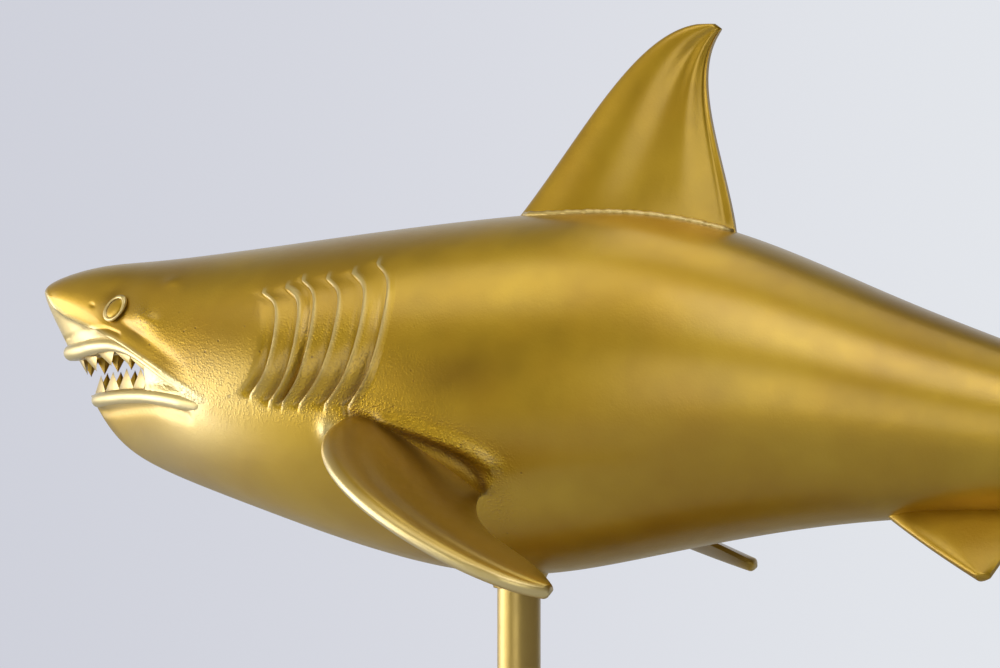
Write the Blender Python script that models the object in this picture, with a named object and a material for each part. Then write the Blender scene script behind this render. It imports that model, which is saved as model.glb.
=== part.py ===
"""Shark figurine: a cast shark on a round post and a foot plate. Metres, +Z up, nose towards -X."""

import math

import bmesh
import bpy
import numpy as np
from mathutils import Matrix, Vector

# Clearance between pieces that touch
GAP = 0.0003

# Trunk: lengths run back from the nose, heights run up from the lowest point of the belly
TRUNK_LENGTH = 0.610
TRUNK_DEPTH = 0.165
TRUNK_WIDTH = 0.124
BELLY_HEIGHT = 0.170
NOSE_TO_POST = 0.243
TRUNK_RINGS = 58
RING_POINTS = 28

# Each row: share of the length, then back, belly and widest level as shares of the depth,
# half width as a share of the half width, and how full the section is below its widest level
TRUNK_STATIONS = (
    (0.000, 0.788, 0.788, 0.788, 0.000, 1.30),
    (0.025, 0.840, 0.588, 0.764, 0.218, 1.30),
    (0.057, 0.864, 0.390, 0.722, 0.355, 1.35),
    (0.098, 0.876, 0.285, 0.636, 0.540, 1.50),
    (0.138, 0.890, 0.230, 0.556, 0.694, 1.75),
    (0.202, 0.917, 0.154, 0.500, 0.850, 2.00),
    (0.300, 0.960, 0.047, 0.485, 0.968, 2.05),
    (0.415, 1.000, 0.000, 0.490, 1.000, 2.10),
    (0.500, 1.002, 0.050, 0.500, 0.965, 2.10),
    (0.600, 0.909, 0.122, 0.500, 0.845, 2.10),
    (0.700, 0.759, 0.166, 0.452, 0.670, 2.05),
    (0.820, 0.592, 0.195, 0.395, 0.445, 2.00),
    (0.920, 0.478, 0.255, 0.370, 0.290, 2.00),
    (0.955, 0.455, 0.283, 0.369, 0.240, 2.00),
    (1.000, 0.400, 0.340, 0.368, 0.055, 2.00),
)

# Mouth: its upper and lower edges on the same shares of length and depth as the trunk
UPPER_EDGE = (
    (0.025, 0.590), (0.051, 0.609), (0.075, 0.624), (0.103, 0.605), (0.125, 0.560), (0.145, 0.522),
    (0.176, 0.484),
)
LOWER_EDGE = (
    (0.036, 0.487), (0.061, 0.498), (0.082, 0.506), (0.103, 0.509), (0.123, 0.509), (0.157, 0.496),
    (0.176, 0.480),
)
GAPE_END = 0.1115
MOUTH_CORNER = 0.174
UPPER_LIP_RADIUS = 0.0038
LOWER_LIP_RADIUS = 0.0034
LIP_TAPER = 0.45
LIP_INSET = -0.0004
UPPER_LIP_REACH = 0.0028
LIP_REACH_RUN = 0.016
JAW_ROUNDING = 2
LIP_DIP = 0.0007
SLOT_OVERRUN = 0.020
JAW_RIM = 0.0075
PALATE_RISE = 0.007
# Each tooth's place along the jaw from the front, its width and its height, in metres
UPPER_TEETH = (
    (0.0058, 0.0060, 0.0070), (0.0159, 0.0138, 0.0068), (0.0314, 0.0158, 0.0064), (0.0466, 0.0136, 0.0062),
    (0.0596, 0.0112, 0.0060),
)
LOWER_TEETH = (
    (0.0087, 0.0108, 0.0079), (0.0214, 0.0126, 0.0079), (0.0344, 0.0126, 0.0090), (0.0475, 0.0128, 0.0088),
)
TOOTH_THICKNESS = 0.0036
UPPER_TOOTH_RAKE = 0.0044
LOWER_TOOTH_RAKE = -0.0010
TOOTH_LEAN = 0.0022
TOOTH_INSET = 0.0036
TOOTH_ROOT = 0.0025
TOOTH_PATH_POINTS = 240
TOOTH_GAP_SHARE = 0.56

# Eye: an oval ring round a low dome
EYE_AT = (0.0816, 0.740)
EYE_LENGTH = 0.0146
EYE_WIDTH = 0.0110
EYE_RING = 0.0009
EYE_DOME = 0.0011
EYE_TILT = math.radians(38)
EYE_POINTS = 16

# Gill slits: the first and last slit's top end, and how each one bows and leans
GILL_COUNT = 6
GILL_FIRST = (0.2152, 0.780)
GILL_LAST = (0.3070, 0.861)
GILL_HEIGHTS = (0.047, 0.064)
GILL_LEANS = (0.01, 0.09)
GILL_BOWS = (0.220, 0.165)
GILL_RUN = 0.0085
GILL_DEPTH = 0.0024
GILL_END_RUN = 0.0010
GILL_END_DEPTH = 0.0003
GILL_OVERCUT = 0.0010
GILL_SAG = 0.8
GILL_STEPS = 14

# Fins: chord runs back and span runs out, in metres, as two Bezier edges from root to tip
DORSAL_AT = 0.400
DORSAL_LEAD = ((0.000, 0.000), (0.034, 0.041), (0.060, 0.0905), (0.0945, 0.0860))
DORSAL_TRAIL = ((0.1045, -0.008), (0.099, 0.026), (0.081, 0.063), (0.0978, 0.0836))
DORSAL_ROOT_THICKNESS = 0.0170
DORSAL_TIP_THICKNESS = 0.0034
FOOT_BEAD_RADIUS = 0.0018
FOOT_BEAD_MARGIN = 0.0012
FOOT_BEAD_START = 0.0033
FOOT_BEAD_END = 0.0020

PECTORAL_AT = (0.298, 0.428)
PECTORAL_LEAD = ((0.000, 0.000), (-0.012, 0.0705), (0.1185, 0.108), (0.1465, 0.0833))
PECTORAL_TRAIL = ((0.0715, 0.000), (0.092, 0.065), (0.120, 0.0502), (0.146, 0.0778))
PECTORAL_ROOT_THICKNESS = 0.0150
PECTORAL_TIP_THICKNESS = 0.0055
PECTORAL_PITCH = math.radians(20)
PECTORAL_DROOP = math.radians(16.5)
PECTORAL_INSET = 0.0025
PECTORAL_HEEL_DROP = 0.0097

PELVIC_AT = (0.690, 0.186)
PELVIC_LEAD = ((0.000, 0.000), (0.014, 0.012), (0.034, 0.027), (0.052, 0.0388))
PELVIC_TRAIL = ((0.068, 0.000), (0.065, 0.012), (0.061, 0.026), (0.057, 0.0378))
PELVIC_ROOT_THICKNESS = 0.0085
PELVIC_TIP_THICKNESS = 0.0040
PELVIC_DROOP = math.radians(45)
PELVIC_SPREAD = 0.010

SECOND_DORSAL_AT = 0.862
SECOND_DORSAL_LEAD = ((0.000, 0.000), (0.006, 0.008), (0.012, 0.015), (0.020, 0.015))
SECOND_DORSAL_TRAIL = ((0.020, -0.004), (0.018, 0.002), (0.018, 0.008), (0.026, 0.011))
ANAL_AT = 0.885
ANAL_LEAD = ((0.000, 0.000), (0.006, 0.008), (0.012, 0.015), (0.020, 0.015))
ANAL_TRAIL = ((0.020, -0.004), (0.018, 0.002), (0.018, 0.008), (0.026, 0.011))
SMALL_FIN_ROOT_THICKNESS = 0.0060
SMALL_FIN_TIP_THICKNESS = 0.0028

TAIL_AT = 0.955
TAIL_LEVEL = 0.368
UPPER_TAIL_LEAD = ((0.000, 0.000), (0.028, 0.022), (0.064, 0.062), (0.094, 0.098))
UPPER_TAIL_TRAIL = ((0.046, 0.000), (0.050, 0.022), (0.074, 0.066), (0.0965, 0.095))
LOWER_TAIL_LEAD = ((0.000, 0.000), (0.024, 0.020), (0.054, 0.052), (0.070, 0.078))
LOWER_TAIL_TRAIL = ((0.046, 0.000), (0.050, 0.014), (0.058, 0.046), (0.0730, 0.0755))
TAIL_ROOT_THICKNESS = 0.0130
TAIL_TIP_THICKNESS = 0.0036
KEEL_LENGTH = 0.075
KEEL_REACH = 0.0045
KEEL_THICKNESS = 0.0050

FIN_EDGE = 0.0022
FIN_ROOT_DEPTH = 0.012
FIN_SPAN_STEPS = 8
FIN_NOSE = 0.3
FIN_CHORD_SHARES = (0.00, 0.03, 0.10, 0.25, 0.45, 0.70, 0.90, 1.00)

# Post, boss and foot
POST_DIAMETER = 0.020
POST_SOCKET_DEPTH = 0.020
BOSS_HEIGHT = 0.0065
BOSS_WALL = 0.0016
BOSS_FLARE = 0.004
PLATE_LENGTH = 0.240
PLATE_WIDTH = 0.120
PLATE_THICKNESS = 0.012
PLATE_CORNER = 0.012
PLATE_EDGE = 0.0015
SPIGOT_DIAMETER = 0.012
SPIGOT_LENGTH = 0.0085
ROUND_POINTS = 40


# Curves and the trunk's form

def natural_spline(knots, values):
    """A function through the values with smooth slope and curvature, straight at both ends."""
    knots = np.array(knots, float)
    values = np.array(values, float)
    count = len(knots)
    steps = np.diff(knots)
    slopes = np.diff(values) / steps
    matrix = np.eye(count)
    right = np.zeros(count)
    for i in range(1, count - 1):
        matrix[i, i - 1 : i + 2] = steps[i - 1], 2 * (steps[i - 1] + steps[i]), steps[i]
        right[i] = 6 * (slopes[i] - slopes[i - 1])
    bends = np.linalg.solve(matrix, right)

    def value_at(knot):
        i = int(np.clip(np.searchsorted(knots, knot) - 1, 0, count - 2))
        before, after, step = knot - knots[i], knots[i + 1] - knot, steps[i]
        curve = (bends[i] * after**3 + bends[i + 1] * before**3) / (6 * step)
        left = (values[i] / step - bends[i] * step / 6) * after
        return float(curve + left + (values[i + 1] / step - bends[i + 1] * step / 6) * before)

    return value_at


def bezier(points, share):
    """The point at this share of a cubic Bezier."""
    a, b, c, d = (Vector(p) for p in points)
    rest = 1 - share
    return a * rest**3 + b * 3 * rest**2 * share + c * 3 * rest * share**2 + d * share**3


# The trunk's rows are splined against the root of the distance, which makes the nose round
TRUNK_KNOTS = [math.sqrt(row[0]) for row in TRUNK_STATIONS]
BACK, BELLY, WIDEST, WIDTH, FULLNESS = (
    natural_spline(TRUNK_KNOTS, [row[i] for row in TRUNK_STATIONS]) for i in range(1, 6)
)
UPPER_EDGE_LEVEL = natural_spline(*zip(*UPPER_EDGE))
LOWER_EDGE_LEVEL = natural_spline(*zip(*LOWER_EDGE))


def x_at(share):
    """The place along X of a share of the trunk's length."""
    return TRUNK_LENGTH * share - NOSE_TO_POST


def share_at(x):
    return min(max((x + NOSE_TO_POST) / TRUNK_LENGTH, 0.0), 1.0)


def height_at(level):
    """The height of a share of the trunk's depth."""
    return BELLY_HEIGHT + TRUNK_DEPTH * level


def section_at(share):
    """Back, belly and widest heights, half width and fullness of the trunk at a share of its length."""
    root = math.sqrt(share)
    half_width = max(WIDTH(root), 0.0) * TRUNK_WIDTH / 2
    back, belly, widest = (height_at(curve(root)) for curve in (BACK, BELLY, WIDEST))
    return back, belly, widest, half_width, FULLNESS(root)


def flank_y(x, z):
    """How far the trunk's side lies from the middle plane at x and z."""
    back, belly, widest, half_width, fullness = section_at(share_at(x))
    if z >= widest:
        reach = min((z - widest) / max(back - widest, 1e-6), 1.0)
        return half_width * math.sqrt(1 - reach**2)
    reach = min((widest - z) / max(widest - belly, 1e-6), 1.0)
    return half_width * (1 - reach**fullness) ** (1 / fullness)


def back_z(x, y):
    """The height of the trunk's upper surface at x and y."""
    back, belly, widest, half_width, fullness = section_at(share_at(x))
    return widest + (back - widest) * math.sqrt(max(1 - (y / half_width) ** 2, 0.0))


def flank_normal(x, z):
    """The trunk's outward direction on its +Y side at x and z."""
    step = 0.001
    along = Vector((2 * step, flank_y(x + step, z) - flank_y(x - step, z), 0))
    up = Vector((0, flank_y(x, z + step) - flank_y(x, z - step), 2 * step))
    return up.cross(along).normalized()


# Mesh helpers

def object_of(name, bm, collection):
    """Turns a bmesh into a named object with its faces pointing out."""
    bmesh.ops.recalc_face_normals(bm, faces=bm.faces)
    mesh = bpy.data.meshes.new(name)
    bm.to_mesh(mesh)
    bm.free()
    mesh.shade_smooth()
    mesh.set_sharp_from_angle(angle=math.radians(35))
    obj = bpy.data.objects.new(name, mesh)
    collection.objects.link(obj)
    if collection == TOOLS:
        obj.hide_render = True
        obj.display_type = "WIRE"
    return obj


def loft(bm, rings):
    """Joins closed rings of points one after another and closes both ends. A ring of one point is a tip."""
    loops = [[bm.verts.new(point) for point in ring] for ring in rings]
    for low, high in zip(loops, loops[1:]):
        count = max(len(low), len(high))
        for i in range(count):
            j = (i + 1) % count
            corners = [low[i % len(low)], low[j % len(low)], high[j % len(high)], high[i % len(high)]]
            bm.faces.new(list(dict.fromkeys(corners)))
    for loop in (loops[0], loops[-1]):
        if len(loop) > 2:
            bm.faces.new(loop)
    return bm


def tube(name, points, radii, closed=False, sides=2):
    """A round bar along the points, made as a bevelled curve and turned into a mesh in the tools."""
    curve = bpy.data.curves.new(name, "CURVE")
    curve.dimensions = "3D"
    curve.bevel_depth = 1.0
    curve.bevel_resolution = sides
    curve.use_fill_caps = not closed
    spline = curve.splines.new("POLY")
    spline.points.add(len(points) - 1)
    spline.use_cyclic_u = closed
    for place, point, radius in zip(spline.points, points, radii):
        place.co = (*point, 1)
        place.radius = radius
    guide = bpy.data.objects.new(name + "_line", curve)
    TOOLS.objects.link(guide)
    bpy.context.view_layer.update()
    graph = bpy.context.evaluated_depsgraph_get()
    mesh = bpy.data.meshes.new_from_object(guide.evaluated_get(graph))
    bpy.data.objects.remove(guide)
    bm = bmesh.new()
    bm.from_mesh(mesh)
    bmesh.ops.remove_doubles(bm, verts=bm.verts, dist=1e-6)
    return object_of(name, bm, TOOLS)


def cylinder(bm, radius, low, high, top_radius=None, points=ROUND_POINTS):
    """A round bar or cone on the post's axis between two heights."""
    place = Matrix.Translation((0, 0, (low + high) / 2)) @ Matrix.Rotation(math.pi / points, 4, "Z")
    upper = radius if top_radius is None else top_radius
    return bmesh.ops.create_cone(
        bm, cap_ends=True, segments=points, radius1=radius, radius2=upper, depth=high - low, matrix=place
    )


def boolean(obj, tool, operation):
    """Adds a live exact Boolean to the object."""
    modifier = obj.modifiers.new(f"{operation.lower()} {tool.name}", "BOOLEAN")
    modifier.operation = operation
    modifier.solver = "EXACT"
    modifier.object = tool


# The trunk

def trunk_ring(share):
    back, belly, widest, half_width, fullness = section_at(share)
    points = []
    for i in range(RING_POINTS):
        angle = 2 * math.pi * i / RING_POINTS
        across, up = math.cos(angle), math.sin(angle)
        power = 2.0 if up >= 0 else fullness
        reach = back - widest if up >= 0 else widest - belly
        y = half_width * math.copysign(abs(across) ** (2 / power), across)
        points.append((x_at(share), y, widest + reach * math.copysign(abs(up) ** (2 / power), up)))
    return points


def make_trunk():
    shares = [(i / TRUNK_RINGS) ** 1.7 for i in range(1, TRUNK_RINGS + 1)]
    nose = (x_at(0), 0, height_at(TRUNK_STATIONS[0][1]))
    rings = [[nose]] + [trunk_ring(share) for share in shares]
    return object_of("shark_casting", loft(bmesh.new(), rings), PARTS)


# Fins

def fin_rings(lead, trail, root_thickness, tip_thickness, place, root_depth=FIN_ROOT_DEPTH, heel_drop=0.0):
    """Rings of a fin from its buried root to its tip. A heel drop twists the root's rear end downwards."""
    rings = []
    for step in range(-1 if root_depth else 0, FIN_SPAN_STEPS + 1):
        share = max(step, 0) / FIN_SPAN_STEPS
        front, rear = bezier(lead, share), bezier(trail, share)
        if step < 0:
            front, rear = front - Vector((0, root_depth)), rear - Vector((0, root_depth))
        thickness = root_thickness + (tip_thickness - root_thickness) * share**0.8
        upper, lower = [], []
        for chord in FIN_CHORD_SHARES:
            middle = front.lerp(rear, chord)
            half = fin_half_thickness(chord, thickness)
            drop = heel_drop * chord * (1 - share) ** 3
            upper.append(place @ Vector((middle.x, drop + half, middle.y)))
            lower.append(place @ Vector((middle.x, drop - half, middle.y)))
        rings.append([*upper, *reversed(lower)])
    return rings


def fin_half_thickness(chord, thickness):
    """A rounded leading edge, the thickest place a third of the way back and a blunt trailing edge."""
    wing = 2.969 * math.sqrt(chord) - 1.26 * chord - 3.516 * chord**2 + 2.843 * chord**3 - 1.036 * chord**4
    return wing * thickness / 2 + FIN_EDGE / 2 * (FIN_NOSE + (1 - FIN_NOSE) * chord)


def make_fin(name, *shape, mirrored=False, **extra):
    bm = loft(bmesh.new(), fin_rings(*shape, **extra))
    if mirrored:
        both = bm.verts[:] + bm.edges[:] + bm.faces[:]
        copied = bmesh.ops.duplicate(bm, geom=both)["geom"]
        bmesh.ops.scale(bm, vec=(1, -1, 1), verts=[v for v in copied if isinstance(v, bmesh.types.BMVert)])
    return object_of(name, bm, TOOLS)


def upright(share, flip=False):
    """Places a fin on the middle plane, on the back or upside down on the belly."""
    root = math.sqrt(share)
    level = BELLY(root) if flip else BACK(root)
    place = Matrix.Translation((x_at(share), 0, height_at(level)))
    return place @ Matrix.Diagonal((1, 1, -1 if flip else 1, 1))


def sideways(at, droop, pitch, inset):
    """Places a fin on the +Y flank: its span hangs below level and its root line drops to the rear."""
    x, z = x_at(at[0]), height_at(at[1])
    place = Matrix.Translation((x, flank_y(x, z) - inset, z))
    place @= Matrix.Rotation(pitch, 4, "Y")
    return place @ Matrix.Rotation(-math.pi / 2 - droop, 4, "X")


def make_tail():
    """The crescent tail fin, lofted in one run from its lower tip to its upper tip."""
    size = (TAIL_ROOT_THICKNESS, TAIL_TIP_THICKNESS)
    place = Matrix.Translation((x_at(TAIL_AT), 0, height_at(TAIL_LEVEL)))
    flipped = place @ Matrix.Diagonal((1, 1, -1, 1))
    lower = fin_rings(LOWER_TAIL_LEAD, LOWER_TAIL_TRAIL, *size, flipped, root_depth=0)
    upper = fin_rings(UPPER_TAIL_LEAD, UPPER_TAIL_TRAIL, *size, place, root_depth=0)
    return object_of("tail_fin", loft(bmesh.new(), lower[:0:-1] + upper), TOOLS)


def make_keels():
    """The low ridge along each side of the tail's stalk."""
    middle = x_at(TAIL_AT)
    half_width = section_at(TAIL_AT)[3] + KEEL_REACH
    bm = bmesh.new()
    place = Matrix.Translation((middle, 0, height_at(TAIL_LEVEL)))
    place @= Matrix.Diagonal((KEEL_LENGTH / 2, half_width, KEEL_THICKNESS / 2, 1))
    bmesh.ops.create_uvsphere(bm, u_segments=18, v_segments=7, radius=1, matrix=place)
    return object_of("tail_keels", bm, TOOLS)


def foot_bead():
    """The raised bead where the tall fin's foot meets the back."""
    base = x_at(DORSAL_AT) + FOOT_BEAD_START
    length = DORSAL_TRAIL[0][0] - FOOT_BEAD_START - FOOT_BEAD_END
    upper = [
        (base + length * chord, fin_half_thickness(chord, DORSAL_ROOT_THICKNESS) + FOOT_BEAD_MARGIN)
        for chord in FIN_CHORD_SHARES
    ]
    outline = [*upper, *((x, -y) for x, y in reversed(upper))]
    points = [(x, y, back_z(x, y)) for x, y in outline]
    return tube("foot_bead", points, [FOOT_BEAD_RADIUS] * len(points), closed=True)


def make_fins():
    pectoral = sideways(PECTORAL_AT, PECTORAL_DROOP, PECTORAL_PITCH, PECTORAL_INSET)
    pelvic_x = x_at(PELVIC_AT[0])
    pelvic = Matrix.Translation((pelvic_x, PELVIC_SPREAD, height_at(PELVIC_AT[1])))
    pelvic @= Matrix.Rotation(-math.pi / 2 - PELVIC_DROOP, 4, "X")
    tall = (DORSAL_ROOT_THICKNESS, DORSAL_TIP_THICKNESS)
    small = (SMALL_FIN_ROOT_THICKNESS, SMALL_FIN_TIP_THICKNESS)
    second = upright(SECOND_DORSAL_AT)
    return [
        make_fin("dorsal_fin", DORSAL_LEAD, DORSAL_TRAIL, *tall, upright(DORSAL_AT)),
        make_fin(
            "pectoral_fins", PECTORAL_LEAD, PECTORAL_TRAIL, PECTORAL_ROOT_THICKNESS, PECTORAL_TIP_THICKNESS,
            pectoral, mirrored=True, heel_drop=PECTORAL_HEEL_DROP,
        ),
        make_fin(
            "pelvic_fins", PELVIC_LEAD, PELVIC_TRAIL, PELVIC_ROOT_THICKNESS, PELVIC_TIP_THICKNESS,
            pelvic, mirrored=True, root_depth=0.004,
        ),
        make_fin("second_dorsal_fin", SECOND_DORSAL_LEAD, SECOND_DORSAL_TRAIL, *small, second),
        make_fin("anal_fin", ANAL_LEAD, ANAL_TRAIL, *small, upright(ANAL_AT, flip=True)),
        make_tail(),
        make_keels(),
        foot_bead(),
    ]


# Mouth

def jaw_path(edge, rise, inset, end_share, count):
    """Evenly spaced points along a jaw, from its right end round the front to the left, inside the skin."""
    def level(share):
        return edge(share) + rise / TRUNK_DEPTH

    front, behind = 0.0, end_share
    for _ in range(40):
        middle = (front + behind) / 2
        front, behind = (front, middle) if BELLY(math.sqrt(middle)) < level(middle) else (middle, behind)
    skin = []
    for i in range(8 * count + 1):
        across = 1 - i / (4 * count)
        share = front + (end_share - front) * across**2
        x, z = x_at(share), height_at(level(share))
        skin.append(Vector((x, math.copysign(flank_y(x, z), across) if across else 0.0, z)))
    points = evenly(skin, count)
    for _ in range(JAW_ROUNDING):
        middles = [(before + after) / 2 for before, after in zip(points, points[2:])]
        points[1:-1] = [point.lerp(middle, 0.5) for point, middle in zip(points[1:-1], middles)]
    inner = []
    for i, point in enumerate(points):
        run = points[min(i + 1, count)] - points[max(i - 1, 0)]
        inward = Vector((-run.y, run.x, 0)).normalized()
        inner.append(point + inward * inset)
    return inner


def evenly(points, count):
    """Points at equal steps along a line."""
    walked = [0.0]
    for before, after in zip(points, points[1:]):
        walked.append(walked[-1] + (after - before).length)
    places = [walked[-1] * i / count for i in range(count + 1)]
    columns = [np.interp(places, walked, [point[axis] for point in points]) for axis in range(3)]
    return [Vector([float(value) for value in place]) for place in zip(*columns)]


def lip(name, edge, radius, rise, reach=0.0):
    """A roll along a jaw, thick in front and thinner at the corners of the mouth."""
    points = jaw_path(edge, rise, LIP_INSET, MOUTH_CORNER, 26)
    half = len(points) // 2
    for point in points:
        point.x -= reach * max(1 - (point.y / LIP_REACH_RUN) ** 2, 0.0)
    radii = [radius * (1 - (1 - LIP_TAPER) * (abs(i - half) / half) ** 3) for i in range(len(points))]
    return tube(name, points, radii)


def mouth_slot():
    """Cuts the gap between the jaws right through from side to side, its outline given along the trunk."""
    steps = 8
    upper = [UPPER_EDGE[0][0] + (GAPE_END - UPPER_EDGE[0][0]) * i / steps for i in range(steps + 1)]
    lower = [LOWER_EDGE[0][0] + (GAPE_END - LOWER_EDGE[0][0]) * i / steps for i in range(steps + 1)]
    outline = [(x_at(share), height_at(UPPER_EDGE_LEVEL(share))) for share in upper]
    outline += [(x_at(share), height_at(LOWER_EDGE_LEVEL(share))) for share in reversed(lower)]
    ahead = x_at(0) - SLOT_OVERRUN
    outline += [(ahead, outline[-1][1]), (ahead, outline[0][1])]
    rings = [[(x, y, z) for x, z in outline] for y in (-TRUNK_WIDTH / 2, TRUNK_WIDTH / 2)]
    return object_of("mouth_slot", loft(bmesh.new(), rings), TOOLS)


def palate():
    """Hollows the roof and floor of the mouth inside the rims of the jaws."""
    front, rear = x_at(UPPER_EDGE[1][0]), x_at(GAPE_END)
    middle = (front + rear) / 2
    share = share_at(middle)
    top, bottom = height_at(UPPER_EDGE_LEVEL(share)), height_at(LOWER_EDGE_LEVEL(share))
    level = (top + bottom) / 2
    half = ((rear - front) / 2, flank_y(middle, level) - JAW_RIM, (top - bottom) / 2 + PALATE_RISE)
    bm = bmesh.new()
    place = Matrix.Translation((middle, 0, level)) @ Matrix.Diagonal((*half, 1))
    bmesh.ops.create_uvsphere(bm, u_segments=20, v_segments=10, radius=1, matrix=place)
    return object_of("palate", bm, TOOLS)


def make_teeth(name, edge, teeth, rake, up):
    """Flat-sided teeth along a jaw, pointing into the gap and raked towards the throat."""
    path = jaw_path(edge, 0.0, TOOTH_INSET, GAPE_END, TOOTH_PATH_POINTS)
    middle = len(path) // 2
    half = path[middle:]
    walked = [0.0]
    for before, after in zip(half, half[1:]):
        walked.append(walked[-1] + (after - before).length)
    bm = bmesh.new()
    for place, width, height in teeth:
        i = int(np.searchsorted(walked, place))
        along = (half[i] - half[i - 1]).normalized()
        share = share_at(half[i].x)
        gap = TRUNK_DEPTH * (UPPER_EDGE_LEVEL(share) - LOWER_EDGE_LEVEL(share))
        add_tooth(bm, half[i], along, width, min(height, gap * TOOTH_GAP_SHARE), rake, up)
    copied = bmesh.ops.duplicate(bm, geom=bm.verts[:] + bm.edges[:] + bm.faces[:])["geom"]
    bmesh.ops.scale(bm, vec=(1, -1, 1), verts=[v for v in copied if isinstance(v, bmesh.types.BMVert)])
    return object_of(name, bm, TOOLS)


def add_tooth(bm, foot, along, width, height, rake, up):
    """One tooth: a three-sided spike with a flat outer face, its foot buried in the jaw."""
    outward = Vector((along.y, -along.x, 0)).normalized()
    half, thick = along * width / 2, outward * TOOTH_THICKNESS
    root = foot - Vector((0, 0, up * TOOTH_ROOT))
    rings = [[base + half, base - half, base - thick] for base in (root, foot)]
    tip = foot - thick / 3 - outward * TOOTH_LEAN + Vector((rake, 0, up * height))
    loft(bm, [*rings, [tip]])


# Gills and eyes

def gill_cuts():
    """Louvred slits: the skin dips gently back to each line and then steps out."""
    bm = bmesh.new()
    for i in range(GILL_COUNT):
        share = i / (GILL_COUNT - 1)
        top_x = x_at(GILL_FIRST[0] + (GILL_LAST[0] - GILL_FIRST[0]) * share)
        top_z = height_at(GILL_FIRST[1] + (GILL_LAST[1] - GILL_FIRST[1]) * share)
        height, lean, bow = (
            pair[0] + (pair[1] - pair[0]) * share for pair in (GILL_HEIGHTS, GILL_LEANS, GILL_BOWS)
        )
        for side in (-1, 1):
            add_gill(bm, top_x, top_z, height, lean, bow, side)
    return object_of("gill_cuts", bm, TOOLS)


def add_gill(bm, top_x, top_z, height, lean, bow, side):
    rings = []
    for step in range(GILL_STEPS + 1):
        down = step / GILL_STEPS
        fade = max(math.sin(math.pi * down**GILL_SAG), 0.0) ** 0.8
        x = top_x - lean * height * down + 4 * bow * height * down * (1 - down)
        z = top_z - height * down
        depth = GILL_END_DEPTH + (GILL_DEPTH - GILL_END_DEPTH) * fade
        run = GILL_END_RUN + (GILL_RUN - GILL_END_RUN) * fade
        rings.append([
            (x, side * (flank_y(x, z) - depth), z),
            (x, side * (flank_y(x, z) + GILL_OVERCUT), z),
            (x - run, side * (flank_y(x - run, z) + GILL_OVERCUT), z),
            (x - run, side * (flank_y(x - run, z) + GILL_OVERCUT / 2), z),
        ])
    loft(bm, rings)


def eye_pieces():
    """An oval ring and a low dome on each side of the snout, and the recess they stand in."""
    x, z = x_at(EYE_AT[0]), height_at(EYE_AT[1])
    outward = flank_normal(x, z)
    middle = Vector((x, flank_y(x, z), z))
    back = (Vector((1, 0, 0)) - outward * outward.x).normalized()
    raised = outward.cross(back) if outward.cross(back).z > 0 else back.cross(outward)
    long_axis = back * math.cos(EYE_TILT) + raised * math.sin(EYE_TILT)
    short_axis = outward.cross(long_axis)
    rings, domes = [], bmesh.new()
    for side in (-1, 1):
        turn = Matrix.Diagonal((1, side, 1))
        outline = []
        for i in range(EYE_POINTS):
            angle = 2 * math.pi * i / EYE_POINTS
            across = long_axis * math.cos(angle) * (EYE_LENGTH / 2 - EYE_RING)
            across += short_axis * math.sin(angle) * (EYE_WIDTH / 2 - EYE_RING)
            point = middle + across
            point.y = flank_y(point.x, point.z)
            outline.append(turn @ point)
        rings.append(tube("eye_ring", outline, [EYE_RING] * EYE_POINTS, closed=True, sides=1))
        axes = Matrix((long_axis, short_axis, outward)).transposed().to_4x4()
        reach = (EYE_LENGTH / 2 - EYE_RING * 2.4, EYE_WIDTH / 2 - EYE_RING * 2.4, EYE_DOME)
        place = turn.to_4x4() @ Matrix.Translation(middle) @ axes @ Matrix.Diagonal((*reach, 1))
        bmesh.ops.create_uvsphere(domes, u_segments=12, v_segments=6, radius=1, matrix=place)
    return [*rings, object_of("eye_domes", domes, TOOLS)]


# Stand

def boss_and_socket():
    """The short boss under the belly and the socket that takes the post."""
    low = BELLY_HEIGHT - BOSS_HEIGHT
    outer = POST_DIAMETER / 2 + GAP + BOSS_WALL
    boss, socket = bmesh.new(), bmesh.new()
    cylinder(boss, outer, low, BELLY_HEIGHT + BOSS_HEIGHT, outer + BOSS_FLARE * 2)
    cylinder(socket, POST_DIAMETER / 2 + GAP, low - BOSS_HEIGHT, low + POST_SOCKET_DEPTH)
    return object_of("belly_boss", boss, TOOLS), object_of("post_socket", socket, TOOLS)


def make_post():
    bm = bmesh.new()
    top = BELLY_HEIGHT - BOSS_HEIGHT + POST_SOCKET_DEPTH - GAP
    ends = cylinder(bm, POST_DIAMETER / 2, PLATE_THICKNESS + GAP, top)["verts"]
    post = object_of("stand_post", bm, PARTS)
    spigot = bmesh.new()
    cylinder(spigot, SPIGOT_DIAMETER / 2, PLATE_THICKNESS - SPIGOT_LENGTH, PLATE_THICKNESS + SPIGOT_LENGTH)
    boolean(post, object_of("post_spigot", spigot, TOOLS), "UNION")
    return post


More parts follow.
